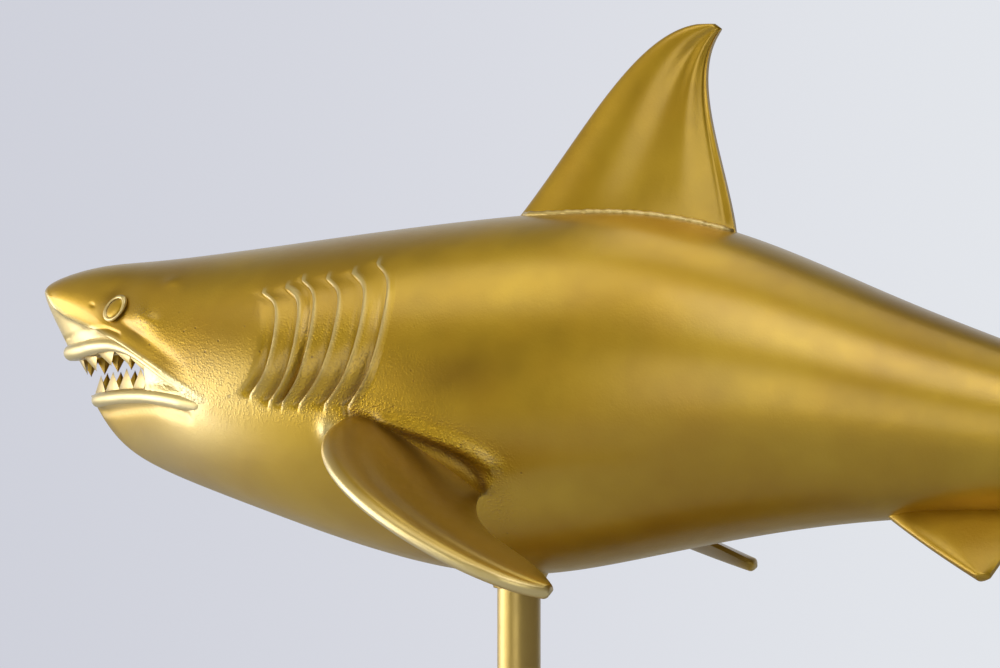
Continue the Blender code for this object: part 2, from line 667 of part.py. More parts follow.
def make_plate():
    """A rectangular foot plate with rounded corners and eased edges, and a blind hole for the spigot."""
    bm = bmesh.new()
    place = Matrix.Translation((0, 0, PLATE_THICKNESS / 2))
    place @= Matrix.Diagonal((PLATE_LENGTH, PLATE_WIDTH, PLATE_THICKNESS, 1))
    bmesh.ops.create_cube(bm, size=1, matrix=place)
    upright_edges = [e for e in bm.edges if abs(e.verts[0].co.z - e.verts[1].co.z) > PLATE_THICKNESS / 2]
    bmesh.ops.bevel(bm, geom=upright_edges, offset=PLATE_CORNER, segments=8, profile=0.5, affect="EDGES")
    rims = [e for e in bm.edges if abs(e.verts[0].co.z - e.verts[1].co.z) < 1e-6]
    bmesh.ops.bevel(bm, geom=rims, offset=PLATE_EDGE, segments=3, profile=0.5, affect="EDGES")
    plate = object_of("base_plate", bm, PARTS)
    hole = bmesh.new()
    cylinder(hole, SPIGOT_DIAMETER / 2 + GAP, PLATE_THICKNESS - SPIGOT_LENGTH - GAP, PLATE_THICKNESS * 2)
    boolean(plate, object_of("spigot_hole", hole, TOOLS), "DIFFERENCE")
    return plate


# Main

def clear_scene():
    for obj in list(bpy.data.objects):
        bpy.data.objects.remove(obj, do_unlink=True)


def new_collection(name):
    collection = bpy.data.collections.new(name)
    bpy.context.scene.collection.children.link(collection)
    return collection


def material(name, colour, roughness, metallic):
    """A Principled material from an sRGB hex colour."""
    made = bpy.data.materials.new(name)
    made.use_nodes = True
    channels = [int(colour[i : i + 2], 16) / 255 for i in (0, 2, 4)]
    linear = [c / 12.92 if c <= 0.04045 else ((c + 0.055) / 1.055) ** 2.4 for c in channels]
    shader = made.node_tree.nodes["Principled BSDF"]
    shader.inputs["Base Color"].default_value = (*linear, 1)
    shader.inputs["Roughness"].default_value = roughness
    shader.inputs["Metallic"].default_value = metallic
    return made


clear_scene()
PARTS = new_collection("shark_figurine")
TOOLS = new_collection("tools")

casting = make_trunk()
for fin in make_fins():
    boolean(casting, fin, "UNION")
belly_boss, post_socket = boss_and_socket()
boolean(casting, belly_boss, "UNION")
boolean(casting, post_socket, "DIFFERENCE")
boolean(casting, gill_cuts(), "DIFFERENCE")
for eye_piece in eye_pieces():
    boolean(casting, eye_piece, "UNION")
boolean(casting, mouth_slot(), "DIFFERENCE")
boolean(casting, palate(), "DIFFERENCE")
upper_rise, lower_rise = UPPER_LIP_RADIUS - LIP_DIP, LIP_DIP - LOWER_LIP_RADIUS
boolean(casting, lip("upper_lip", UPPER_EDGE_LEVEL, UPPER_LIP_RADIUS, upper_rise, UPPER_LIP_REACH), "UNION")
boolean(casting, lip("lower_lip", LOWER_EDGE_LEVEL, LOWER_LIP_RADIUS, lower_rise), "UNION")
boolean(casting, make_teeth("upper_teeth", UPPER_EDGE_LEVEL, UPPER_TEETH, UPPER_TOOTH_RAKE, -1), "UNION")
boolean(casting, make_teeth("lower_teeth", LOWER_EDGE_LEVEL, LOWER_TEETH, LOWER_TOOTH_RAKE, 1), "UNION")
casting.data.materials.append(material("gold_paint_on_casting", "B8963A", 0.36, 1.0))

post = make_post()
post.data.materials.append(material("gold_paint_on_post", "B28F36", 0.34, 1.0))
plate = make_plate()
plate.data.materials.append(material("gold_paint_on_plate", "AE8B34", 0.34, 1.0))
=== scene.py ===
# %% [markdown]
# # A gold painted cast shark on a post
# The imported model is loaded first. The trunk, the fins and the post repeat its sizes, and every new piece
# stands in for one of its solids. Folds, creases and teeth were placed on the photograph.
# The model's box is kept, and the back fin and the breast fins are held inside it.

# %% Load the frame
import math

import bmesh
import bpy
import numpy as np
from mathutils import Matrix, Vector


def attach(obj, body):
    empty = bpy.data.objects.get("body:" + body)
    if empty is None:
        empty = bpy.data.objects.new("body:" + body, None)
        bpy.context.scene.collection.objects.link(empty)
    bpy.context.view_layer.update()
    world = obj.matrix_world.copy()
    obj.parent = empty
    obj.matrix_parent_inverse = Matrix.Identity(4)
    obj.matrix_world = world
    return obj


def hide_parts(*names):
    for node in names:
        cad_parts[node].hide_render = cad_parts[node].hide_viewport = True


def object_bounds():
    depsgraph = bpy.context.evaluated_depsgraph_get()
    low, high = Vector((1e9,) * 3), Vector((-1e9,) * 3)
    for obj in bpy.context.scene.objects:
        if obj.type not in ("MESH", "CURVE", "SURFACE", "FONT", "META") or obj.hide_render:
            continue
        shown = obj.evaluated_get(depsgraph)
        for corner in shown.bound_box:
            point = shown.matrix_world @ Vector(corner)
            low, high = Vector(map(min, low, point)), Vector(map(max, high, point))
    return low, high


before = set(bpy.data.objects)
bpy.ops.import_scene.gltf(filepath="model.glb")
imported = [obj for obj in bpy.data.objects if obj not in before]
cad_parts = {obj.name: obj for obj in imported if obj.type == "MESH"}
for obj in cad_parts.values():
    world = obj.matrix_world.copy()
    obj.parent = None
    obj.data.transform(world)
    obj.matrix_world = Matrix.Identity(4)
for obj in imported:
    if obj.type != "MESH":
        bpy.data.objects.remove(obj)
cad_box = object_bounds()
print("nodes", sorted(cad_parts))

# %% [markdown]
# The photograph was taken from far away with a long lens, level with the fish and a little from its tail
# end. A camera 2.3 m away with a 180 mm lens gives the same flat perspective.

# %% Camera
CAMERA_TURN = math.radians(22)
CAMERA_DISTANCE = 2.3
AIM = Vector((-0.0094, 0.0, 0.280))

view_direction = Vector((-math.sin(CAMERA_TURN), math.cos(CAMERA_TURN), 0))
camera_data = bpy.data.cameras.new("camera")
camera_data.lens = 180
camera_data.sensor_width = 36
camera_data.clip_end = 50
camera = bpy.data.objects.new("camera", camera_data)
bpy.context.scene.collection.objects.link(camera)
camera.location = AIM - view_direction * CAMERA_DISTANCE
camera.rotation_euler = view_direction.to_track_quat("-Z", "Y").to_euler()
bpy.context.scene.camera = camera
print("camera at", [round(v, 3) for v in camera.location])

# %% [markdown]
# The trunk is a run of sections from nose to tail. Each section is an arch above its widest level and a
# keel-like curve below it. Near the nose the lower curve is nearly straight, and that gives the snout its
# sharp edge. A few rows of numbers hold the whole form, and a smooth curve joins them.

# %% The trunk's sections
LENGTH, DEPTH, WIDTH, BELLY, NOSE = 0.610, 0.165, 0.124, 0.170, -0.243
# A row is a place along the trunk, the levels of back, belly and widest part, the width and the fullness.
STATIONS = np.array((
    (0.000, 0.788, 0.788, 0.788, 0.000, 1.30),
    (0.025, 0.840, 0.588, 0.764, 0.218, 1.30),
    (0.057, 0.864, 0.390, 0.722, 0.355, 1.35),
    (0.098, 0.876, 0.285, 0.636, 0.540, 1.50),
    (0.138, 0.890, 0.230, 0.556, 0.694, 1.75),
    (0.202, 0.917, 0.154, 0.500, 0.850, 2.00),
    (0.300, 0.960, 0.047, 0.485, 0.968, 2.05),
    (0.415, 1.000, 0.000, 0.490, 1.000, 2.10),
    (0.500, 1.002, 0.050, 0.500, 0.965, 2.10),
    (0.600, 0.909, 0.122, 0.500, 0.845, 2.10),
    (0.700, 0.759, 0.166, 0.452, 0.670, 2.05),
    (0.820, 0.592, 0.195, 0.395, 0.445, 2.00),
    (0.920, 0.478, 0.255, 0.370, 0.290, 2.00),
    (0.955, 0.455, 0.283, 0.369, 0.240, 2.00),
    (1.000, 0.400, 0.340, 0.368, 0.055, 2.00),
))


def smooth_curve(knots, values):
    """A natural cubic spline that takes whole arrays."""
    knots, values = np.array(knots, float), np.array(values, float)
    steps, count = np.diff(knots), len(knots)
    slopes = np.diff(values) / steps
    matrix, right = np.eye(count), np.zeros(count)
    for i in range(1, count - 1):
        matrix[i, i - 1 : i + 2] = steps[i - 1], 2 * (steps[i - 1] + steps[i]), steps[i]
        right[i] = 6 * (slopes[i] - slopes[i - 1])
    bends = np.linalg.solve(matrix, right)

    def at(place):
        i = np.clip(np.searchsorted(knots, place) - 1, 0, count - 2)
        before, after, step = place - knots[i], knots[i + 1] - place, steps[i]
        curve = (bends[i] * after**3 + bends[i + 1] * before**3) / (6 * step)
        left = (values[i] / step - bends[i] * step / 6) * after
        return curve + left + (values[i + 1] / step - bends[i + 1] * step / 6) * before

    return at


CURVES = [smooth_curve(np.sqrt(STATIONS[:, 0]), STATIONS[:, i]) for i in range(1, 6)]


def section(x):
    """Back, belly and widest heights, half width and fullness of the trunk at x."""
    root = np.sqrt(np.clip((np.asarray(x, float) - NOSE) / LENGTH, 0, 1))
    back, belly, widest, width, fullness = (curve(root) for curve in CURVES)
    half = np.maximum(width, 0) * WIDTH / 2
    return BELLY + DEPTH * back, BELLY + DEPTH * belly, BELLY + DEPTH * widest, half, fullness


def skin(x, angle):
    """A point of the trunk's surface: the angle runs round the section from its right side over the back."""
    back, belly, widest, half, fullness = section(x)
    across, up = np.cos(angle), np.sin(angle)
    power = np.where(up >= 0, 2.0, fullness)
    reach = np.where(up >= 0, back - widest, widest - belly)
    y = half * np.sign(across) * np.abs(across) ** (2 / power)
    z = widest + reach * np.sign(up) * np.abs(up) ** (2 / power)
    return np.stack(np.broadcast_arrays(x, y, z), axis=-1)


def flank_y(x, z):
    """How far the trunk's side lies from the middle plane."""
    back, belly, widest, half, fullness = section(x)
    power = np.where(z >= widest, 2.0, fullness)
    over = (z - widest) / np.maximum(back - widest, 1e-6)
    under = (widest - z) / np.maximum(widest - belly, 1e-6)
    reach = np.where(z >= widest, over, under)
    return half * (1 - np.clip(reach, 0, 1) ** power) ** (1 / power)


print("trunk is", round(LENGTH * 1000), "mm long")

# %% [markdown]
# Six gill folds run down each side. On the casting each fold is a soft hollow that deepens towards the rear
# and ends in a crisp step. Carving them with cutters leaves ragged shading, so the rings of the skin's mesh
# are bent to follow the folds first, and then pushed in and out. The crisp step then lies exactly on a line
# of the mesh.

# %% Gill folds
GILL_TOPS = np.array((
    (-0.1117, 0.2987), (-0.1000, 0.3009), (-0.0925, 0.3047),
    (-0.0795, 0.3052), (-0.0668, 0.3075), (-0.0557, 0.3120),
))
GILL_FEET = np.array((0.2527, 0.2488, 0.2483, 0.2479, 0.2480, 0.2481))
GILL_LEAN = np.array((0.0032, 0.0015, 0.0013, -0.0030, -0.0024, -0.0009))
GILL_SWING = smooth_curve(
    (0, 0.08, 0.16, 0.33, 0.51, 0.69, 0.83, 1.0), (0, 0.0061, 0.0088, 0.0102, 0.0096, 0.0073, 0.0040, -0.0031)
)
BEND_AHEAD, BEND_BEHIND, BEND_FADE = 0.010, 0.004, 0.022


def gill_fall(x, z):
    """How far down its fold a point lies: 0 at the top end, 1 at the foot."""
    top = np.interp(x, GILL_TOPS[:, 0], GILL_TOPS[:, 1])
    return (top - z) / (top - np.interp(x, GILL_TOPS[:, 0], GILL_FEET))


def gill_bend(x, z):
    """How far a ring of the mesh is moved along the fish to follow the folds."""
    fall = np.clip(gill_fall(x, z), 0, 1)
    lean = np.interp(x, GILL_TOPS[:, 0], GILL_LEAN)
    away = np.maximum(GILL_TOPS[0, 0] - BEND_AHEAD - x, x - GILL_TOPS[-1, 0] - BEND_BEHIND)
    return np.clip(1 - away / BEND_FADE, 0, 1) * (GILL_SWING(fall) + lean * fall**2)


# Down a fold its depth changes, in millimetres. Across a fold the form is a hollow, a step and a low crest.
FOLD_FALLS, FOLD_DEPTHS = (-0.03, 0.05, 0.2, 0.5, 0.8, 0.95, 1.05), (0, 0.9, 1.6, 1.7, 2.8, 2.5, 0)
FOLD_FORM = (0, -0.06, -0.42, -0.90, -1.0, 0.24, 0.52, 0.22, 0)
FIRST_FOLD, BETWEEN_FOLDS = 0.0100, 0.0024


def gill_relief(x, z):
    """The height of the skin over its plain form: hollows ahead of each step, a low crest behind it."""
    strength = np.interp(gill_fall(x, z), FOLD_FALLS, FOLD_DEPTHS) / 1000
    relief = np.zeros_like(x)
    for i, edge in enumerate(GILL_TOPS[:, 0]):
        run = FIRST_FOLD if i == 0 else edge - GILL_TOPS[i - 1, 0] - BETWEEN_FOLDS
        offsets = (-run, -0.7 * run, -0.42 * run, -0.18 * run, 0, 0.0007, 0.0018, 0.0034, 0.0060)
        relief += np.interp(x - edge, offsets, FOLD_FORM)
    return relief * strength


print("gill folds a side:", len(GILL_TOPS))

# %% [markdown]
# The two edges of the mouth are drawn on the skin as it is seen from the side. In front the mouth is open right
# through. Behind that a rough web of metal closes it, a little way in from the lips.

# %% The mouth's edges
UPPER_EDGE = smooth_curve(
    (0.025, 0.051, 0.075, 0.103, 0.125, 0.145, 0.176), (0.590, 0.609, 0.624, 0.605, 0.560, 0.522, 0.484)
)
LOWER_EDGE = smooth_curve(
    (0.036, 0.061, 0.082, 0.103, 0.123, 0.157, 0.176), (0.487, 0.498, 0.506, 0.509, 0.509, 0.496, 0.480)
)
UPPER_START, LOWER_START, GAPE_END, MOUTH_CORNER = 0.025, 0.036, 0.1115, 0.174


def x_of(share):
    return NOSE + LENGTH * share


def share_of(x):
    return (x - NOSE) / LENGTH


def height_of(level):
    return BELLY + DEPTH * level


print("mouth is", round((x_of(MOUTH_CORNER) - x_of(LOWER_START)) * 1000), "mm long")

# %% [markdown]
# The head has small relief too: a hollow round each eye, a pebbled swelling behind it, creases that set the
# lips off, and a dressed ridge of weld metal over each breast fin. They follow lines and spots that were
# picked on the photograph, each point a place along the fish and a height.

# %% Lines and spots on the skin
SNOUT_RIDGE = np.array((
    (-0.2430, 0.3000), (-0.2392, 0.2997), (-0.2339, 0.2934), (-0.2253, 0.2887), (-0.2139, 0.2850),
    (-0.2025, 0.2813), (-0.1925, 0.2778), (-0.1827, 0.2736), (-0.1720, 0.2683), (-0.1616, 0.2630),
    (-0.1517, 0.2579), (-0.1421, 0.2528), (-0.1363, 0.2491),
))
LIP_CREASE = np.array((
    (-0.2172, 0.2425), (-0.2063, 0.2432), (-0.1946, 0.2446), (-0.1815, 0.2456), (-0.1690, 0.2460),
    (-0.1579, 0.2446), (-0.1477, 0.2425),
))
SNOUT_CREASE = np.array((
    (-0.2330, 0.2762), (-0.2291, 0.2772), (-0.2193, 0.2801), (-0.2084, 0.2823), (-0.1980, 0.2824),
    (-0.1896, 0.2801),
))
FIN_ROOT = np.array((
    (-0.0611, 0.2406), (-0.0535, 0.2388), (-0.0436, 0.2358), (-0.0338, 0.2322), (-0.0241, 0.2287),
    (-0.0146, 0.2247), (-0.0054, 0.2198), (0.0024, 0.2127), (0.0044, 0.2072),
))
WELD_RIDGE = np.array((
    (-0.0430, 0.2403), (-0.0335, 0.2380), (-0.0237, 0.2354), (-0.0140, 0.2326), (-0.0045, 0.2292),
    (0.0048, 0.2248), (0.0098, 0.2205),
))
UPPER_LIP_REAR = np.array((
    (-0.1801, 0.2702), (-0.1669, 0.2626), (-0.1555, 0.2565), (-0.1458, 0.2522), (-0.1370, 0.2496),
))
EYE_PLACE, EYE_TILT = (-0.1932, 0.2921), math.radians(38)
CHEEK, CHEEK_FOLD, CHEEK_TILT = (-0.1733, 0.2874), (-0.1800, 0.2812), math.radians(-24)
FIN_HEEL, FIN_SHOULDER = (0.0068, 0.2118), (-0.0712, 0.2368)
ROOT_GROOVE = FIN_ROOT + (0.0008, 0.0032)
print("snout ridge has", len(SNOUT_RIDGE), "points")

# %% [markdown]
# Every mark on the skin is a soft spot or a soft line. Both fade out like a bell and leave no edge.

# %% Soft spots and lines
def bell(offset, width):
    return np.exp(-((offset / width) ** 2))


def dab(x, z, middle, size, tilt):
    """A soft spot, 1 in the middle and 0 far away, longer along its tilted first axis."""
    dx, dz = x - middle[0], z - middle[1]
    along, over = dx * math.cos(tilt) + dz * math.sin(tilt), dz * math.cos(tilt) - dx * math.sin(tilt)
    return np.exp(-((along / size[0]) ** 2) - (over / size[1]) ** 2)


def dabs(x, z, spots):
    """The sum of several spots. Each is an amount, a middle, a size and a tilt."""
    return sum(amount * dab(x, z, middle, size, tilt) for amount, middle, size, tilt in spots)


def off_line(x, z, line):
    """The distance from a line of points, all seen from the side."""
    least = np.full(np.shape(x), 1.0)
    for start, end in zip(line, line[1:]):
        run = end - start
        share = np.clip(((x - start[0]) * run[0] + (z - start[1]) * run[1]) / (run @ run), 0, 1)
        least = np.minimum(least, np.hypot(x - start[0] - share * run[0], z - start[1] - share * run[1]))
    return least


def line_of(x, z, line, width):
    """A soft line, 1 on the line and 0 far from it."""
    return bell(off_line(x, z, line), width)


# %% [markdown]
# The relief is added up in metres. A crisp ridge runs from the nose past the eye to the corner of the mouth,
# with a hollow above it and a shallow one below. Behind the gape a web of metal closes the mouth.

# %% Relief of the head and flank
RIDGE_HEIGHT, RIDGE_ABOVE, RIDGE_BELOW = 0.0012, 0.0018, 0.0012
WEB_DEPTH, WEB_SLOPE, WEB_MARGIN = 0.0020, 0.0022, 0.0002
RELIEF_SPOTS = (
    (-0.0022, (EYE_PLACE[0] - 0.0010, EYE_PLACE[1] + 0.0004), (0.0096, 0.0080), EYE_TILT),
    (0.0016, CHEEK, (0.0070, 0.0042), CHEEK_TILT),
    (-0.0007, CHEEK_FOLD, (0.0080, 0.0022), CHEEK_TILT),
    (0.0005, (-0.1645, 0.3040), (0.0040, 0.0024), 0),
    (-0.0006, (-0.2080, 0.2937), (0.0011, 0.0011), 0),
    (0.0018, FIN_HEEL, (0.0034, 0.0042), 0),
    (0.0016, FIN_SHOULDER, (0.0034, 0.0042), 0),
)
RELIEF_LINES = (
    (-0.0015, LIP_CREASE, 0.0019),
    (-0.0007, SNOUT_CREASE, 0.0010),
    (0.0022, WELD_RIDGE, 0.0026),
    (-0.0012, ROOT_GROOVE, 0.0017),
)


def web_relief(x, z):
    """The closed rear part of the mouth lies behind the lips."""
    share = share_of(x)
    above = np.clip((z - height_of(LOWER_EDGE(share)) - WEB_MARGIN) / WEB_SLOPE, 0, 1)
    below = np.clip((height_of(UPPER_EDGE(share)) - z - WEB_MARGIN) / WEB_SLOPE, 0, 1)
    inside = above * above * (3 - 2 * above) * below * below * (3 - 2 * below)
    return -WEB_DEPTH * inside * np.interp(share, (0.09, 0.10, 0.166, 0.180), (0, 1, 1, 0))


def head_relief(x, z):
    """The ridge with its two hollows, the spots, the lines and the web."""
    off = z - np.interp(x, SNOUT_RIDGE[:, 0], SNOUT_RIDGE[:, 1])
    fade = np.interp(x, (-0.243, -0.236, -0.160, -0.136), (0, 1, 1, 0))
    relief = RIDGE_HEIGHT * fade * np.exp(-np.abs(off) / np.where(off > 0, RIDGE_ABOVE, RIDGE_BELOW))
    above = bell(off - 0.0085, 0.0040) * np.interp(x, (-0.205, -0.185, -0.160, -0.145), (0, 1, 1, 0))
    below = bell(off + 0.0042, 0.0022) * np.interp(x, (-0.225, -0.205, -0.160, -0.145), (0, 1, 1, 0))
    relief = relief - 0.0009 * above - 0.0004 * below + dabs(x, z, RELIEF_SPOTS)
    for amount, line, width in RELIEF_LINES:
        relief = relief + amount * line_of(x, z, line, width)
    return relief + web_relief(x, z)


# %% [markdown]
# Two numbers are kept for every point of the skin. The first says where the casting was left grainy.

# %% Rough places
ROUGH_SPOTS = (
    (0.9, CHEEK, (0.009, 0.0055), CHEEK_TILT),
    (0.50, (-0.146, 0.268), (0.026, 0.017), math.radians(-38)),
    (0.32, (-0.090, 0.268), (0.045, 0.024), 0),
    (0.60, (-0.088, 0.250), (0.036, 0.007), 0),
    (0.9, (-0.056, 0.243), (0.014, 0.008), 0),
    (0.8, (0.012, 0.207), (0.012, 0.013), 0),
    (0.25, (-0.050, 0.262), (0.040, 0.025), 0),
)


def roughness_of_skin(x, y, z):
    """Where the casting was left grainy: 0 is smooth, 1 is the roughest."""
    rough = dabs(x, z, ROUGH_SPOTS) + 0.9 * line_of(x, z, WELD_RIDGE, 0.0085)
    rough = rough + 0.9 * np.clip(-web_relief(x, z) / 0.003, 0, 1) * np.interp(x, (-0.172, -0.160), (0, 1))
    rear = np.interp(x, (-0.172, -0.160, -0.140, -0.134), (0, 1, 1, 0))
    rough = rough + 0.7 * rear * line_of(x, z, UPPER_LIP_REAR, 0.0030)
    return np.where(np.abs(y) > 0.010, np.clip(rough, 0, 1), 0)


# %% [markdown]
# The second number is above 0 where a highlight is painted into the colour, as on edges, and below 0 where
# painted shade darkens it, as in hollows.

# %% Painted highlights and painted shade
# Spots of painted light: a painted highlight on the fin's shoulder, the chin and the jaw, and painted shade in
# the eye's hollow, the cheek fold and a patch of the flank.
PAINTED_LIGHT_SPOTS = (
    (0.8, FIN_SHOULDER, (0.0045, 0.0055), 0),
    (0.35, (-0.1680, 0.2300), (0.0500, 0.0160), 0),
    (0.40, (-0.1300, 0.2520), (0.0280, 0.0200), 0),
    (-0.8, (EYE_PLACE[0] - 0.0040, EYE_PLACE[1] + 0.0032), (0.0085, 0.0050), EYE_TILT),
    (-0.6, CHEEK_FOLD, (0.0080, 0.0022), CHEEK_TILT),
    (-0.6, (-0.0060, 0.2620), (0.0260, 0.0110), 0),
)


def painted_light_of_skin(x, y, z):
    """Painted highlight on the snout's ridge, the band under it and the lips' surroundings, painted shade in
    the fin's root groove, and both on the gill folds.
    """
    off = z - np.interp(x, SNOUT_RIDGE[:, 0], SNOUT_RIDGE[:, 1])
    along = np.interp(x, (-0.243, -0.236, -0.160, -0.136), (0.7, 1, 1, 0.4)) * (x < -0.134)
    painted_light = 0.9 * along * bell(off, 0.0010)
    painted_light = painted_light + 0.8 * along * np.clip(-off / 0.0016, 0, 1) * (z > height_of(LOWER_EDGE(share_of(x))))
    painted_light = painted_light + 0.5 * line_of(x, z, LIP_CREASE + (0.006, 0.006), 0.0060)
    painted_light = painted_light - 0.9 * line_of(x, z, ROOT_GROOVE, 0.0022)
    return np.clip(painted_light + dabs(x, z, PAINTED_LIGHT_SPOTS) + gill_painted_light(x, z), -1, 1)


def gill_painted_light(x, z):
    """Each gill fold gets a painted highlight on the crest behind its step, and painted shade in the hollow
    ahead of it, low down.
    """
    straight = x
    for _ in range(3):
        straight = x - gill_bend(straight, z)
    fall, painted_light = gill_fall(straight, z), 0
    crest = np.interp(fall, (-0.06, -0.01, 0.15, 0.5, 0.8, 1.0, 1.06), (0, 1, 1, 0.8, 0.6, 0.6, 0))
    painted_shade = np.interp(fall, (0.05, 0.25, 0.6, 0.9, 1.0, 1.04), (0, 0.25, 0.55, 1, 0.9, 0))
    for edge in GILL_TOPS[:, 0]:
        behind = straight - edge
        painted_light = painted_light + crest * np.interp(behind, (0.0001, 0.0007, 0.0018, 0.0030), (0, 1, 0.9, 0))
        painted_light = painted_light - painted_shade * np.interp(behind, (-0.0055, -0.0025, -0.0003, 0.0002), (0, 0.7, 1, 0))
    return painted_light


# %% [markdown]
# The skin is one grid of faces that is rolled round the trunk, as a sheet is rolled into a tube. The two long
# edges meet under the belly.

# %% Rolling a grid into a skin
def wrapped(name, points, sharp=35):
    """A grid of faces laid on an array of points, with its meeting edges merged and its open ends filled."""
    rows, columns = points.shape[:2]
    bm = bmesh.new()
    bmesh.ops.create_grid(bm, x_segments=columns - 1, y_segments=rows - 1, size=0.5)
    for vert in bm.verts:
        column, row = round((vert.co.x + 0.5) * (columns - 1)), round((vert.co.y + 0.5) * (rows - 1))
        vert.co = points[row, column]
    bmesh.ops.remove_doubles(bm, verts=bm.verts, dist=4e-6)
    bmesh.ops.dissolve_degenerate(bm, edges=bm.edges, dist=1e-6)
    open_edges = [edge for edge in bm.edges if edge.is_boundary]
    if open_edges:
        bmesh.ops.holes_fill(bm, edges=open_edges, sides=0)
    return finished(name, bm, sharp)


def finished(name, bm, sharp=35):
    """Turns a bmesh into an object with outward faces that are smooth but for its sharp edges."""
    bmesh.ops.recalc_face_normals(bm, faces=bm.faces)
    mesh = bpy.data.meshes.new(name)
    bm.to_mesh(mesh)
    bm.free()
    mesh.shade_smooth()
    mesh.set_sharp_from_angle(angle=math.radians(sharp))
    piece = bpy.data.objects.new(name, mesh)
    bpy.context.scene.collection.objects.link(piece)
    return piece


# %% [markdown]
# The rings of the skin are close together at the head, where the detail is, and wider apart towards the tail.
# Round each fold they keep the same small steps. One column of faces is slid so that it lies on the ridge.

# %% Rings and columns of the skin
HEAD_RINGS, HEAD_PART, REAR_RINGS, COLUMNS = 124, 0.120, 150, 241
STEPS = (0, 0.00035, 0.0007, 0.0012, 0.0018, 0.0028)
RIDGE_COLUMN, FREE_COLUMN = -36.0, 30
CLOSE_BY = np.array((-1.1, -0.75, -0.4, 0.4, 0.75, 1.1))


def skin_rows():
    """The places of the rings along the fish."""
    head = NOSE + HEAD_PART * np.linspace(0, 1, HEAD_RINGS) ** 1.6
    folds = []
    for edge, following in zip(GILL_TOPS[:, 0], [*GILL_TOPS[1:, 0], GILL_TOPS[-1, 0] + 0.010]):
        folds += [edge + step for step in STEPS] + list(np.linspace(edge + 0.0040, following - 0.0007, 7))
    neck = np.linspace(head[-1] + 0.0012, GILL_TOPS[0, 0] - 0.0007, 11)
    rear = np.linspace(folds[-1] + 0.0018, NOSE + LENGTH, REAR_RINGS)
    return np.concatenate((head, neck, folds, rear))


def ridge_angle(x):
    """Where the snout's ridge lies round the section, in degrees from level."""
    back, belly, widest, half, fullness = section(x)
    level = np.interp(x, SNOUT_RIDGE[:, 0], SNOUT_RIDGE[:, 1])
    below = np.clip((widest - level) / np.maximum(widest - belly, 1e-5), 0, 1) ** (fullness / 2)
    angle = -np.degrees(np.arcsin(below))
    keep = np.interp(x, (-0.240, -0.232, -0.136, -0.115), (0, 1, 1, 0))
    return RIDGE_COLUMN + (np.clip(angle, -75, -8) - RIDGE_COLUMN) * keep


def follow_ridge(angles, x):
    """Slides the columns of the mesh round the head, so that one of them lies on the ridge."""
    mirror = angles > 90
    angles = np.where(mirror, 180 - angles, angles)
    ridge = ridge_angle(x)
    low = -90 + (angles + 90) * (ridge + 90) / (RIDGE_COLUMN + 90)
    high = ridge + (angles - RIDGE_COLUMN) * (FREE_COLUMN - ridge) / (FREE_COLUMN - RIDGE_COLUMN)
    moved = np.where(angles < RIDGE_COLUMN, low, np.where(angles < FREE_COLUMN, high, angles))
    return np.radians(np.where(mirror, 180 - moved, moved))


rows = skin_rows()
beside = RIDGE_COLUMN + CLOSE_BY
degrees = np.sort(np.concatenate((np.linspace(-90, 270, COLUMNS), beside, 180 - RIDGE_COLUMN - CLOSE_BY)))
print("rings", len(rows), "columns", len(degrees))

# %% [markdown]
# The grid is laid on the trunk, bent along the folds and pushed out or in by the relief. Close to the middle
# plane the relief fades out, so that the two sides meet.

# %% The trunk's skin
places, turns = np.meshgrid(rows, degrees, indexing="ij")
turns = follow_ridge(turns, places)
plain = skin(places, turns)
places_bent = places + gill_bend(places, plain[..., 2])
surface = skin(places_bent, turns)
run_along, run_round = np.gradient(surface, axis=0), np.gradient(surface, axis=1)
outward = np.cross(run_round, run_along)
outward /= np.maximum(np.linalg.norm(outward, axis=-1, keepdims=True), 1e-12)
outward *= np.where((outward[..., 1:2] * surface[..., 1:2]).sum() < 0, -1, 1)
relief = gill_relief(places, surface[..., 2]) + head_relief(surface[..., 0], surface[..., 2])
relief *= np.clip(np.abs(surface[..., 1]) / 0.004, 0, 1)
trunk = wrapped("trunk_skin", surface + outward * relief[..., None], sharp=60)
print("skin faces", len(trunk.data.polygons))

# %% [markdown]
# The mouth is open right through from side to side. A slot with the outline of the two jaws is cut first,
# then a hollow inside the jaws' rims, so that the teeth stand on a rim as they do on the casting.

# %% Mouth
SLOT_AHEAD, PALATE_START, JAW_RIM, PALATE_RISE = 0.02, 0.051, 0.0075, 0.007


def cut(piece, cutter):
    """Takes the cutter away from the piece and keeps the result as plain mesh."""
    modifier = piece.modifiers.new("cut", "BOOLEAN")
    modifier.operation, modifier.solver, modifier.object = "DIFFERENCE", "EXACT", cutter
    keep_shape(piece)
    bpy.data.objects.remove(cutter)


def keep_shape(piece):
    bpy.context.view_layer.update()
    graph = bpy.context.evaluated_depsgraph_get()
    mesh = bpy.data.meshes.new_from_object(piece.evaluated_get(graph))
    piece.modifiers.clear()
    piece.data = mesh


steps = np.linspace(0, 1, 25)
upper = UPPER_START + (GAPE_END - UPPER_START) * steps
lower = LOWER_START + (GAPE_END - LOWER_START) * steps
outline = [(x_of(s), height_of(UPPER_EDGE(s))) for s in upper]
outline += [(x_of(s), height_of(LOWER_EDGE(s))) for s in lower[::-1]]
outline += [(NOSE - SLOT_AHEAD, outline[-1][1]), (NOSE - SLOT_AHEAD, outline[0][1])]
bm = bmesh.new()
floor_of_slot = bm.faces.new([bm.verts.new((x, -WIDTH / 2, z)) for x, z in outline])
grown = bmesh.ops.extrude_face_region(bm, geom=[floor_of_slot])["geom"]
bmesh.ops.translate(bm, vec=(0, WIDTH, 0), verts=[v for v in grown if isinstance(v, bmesh.types.BMVert)])
cut(trunk, finished("mouth_slot", bm))

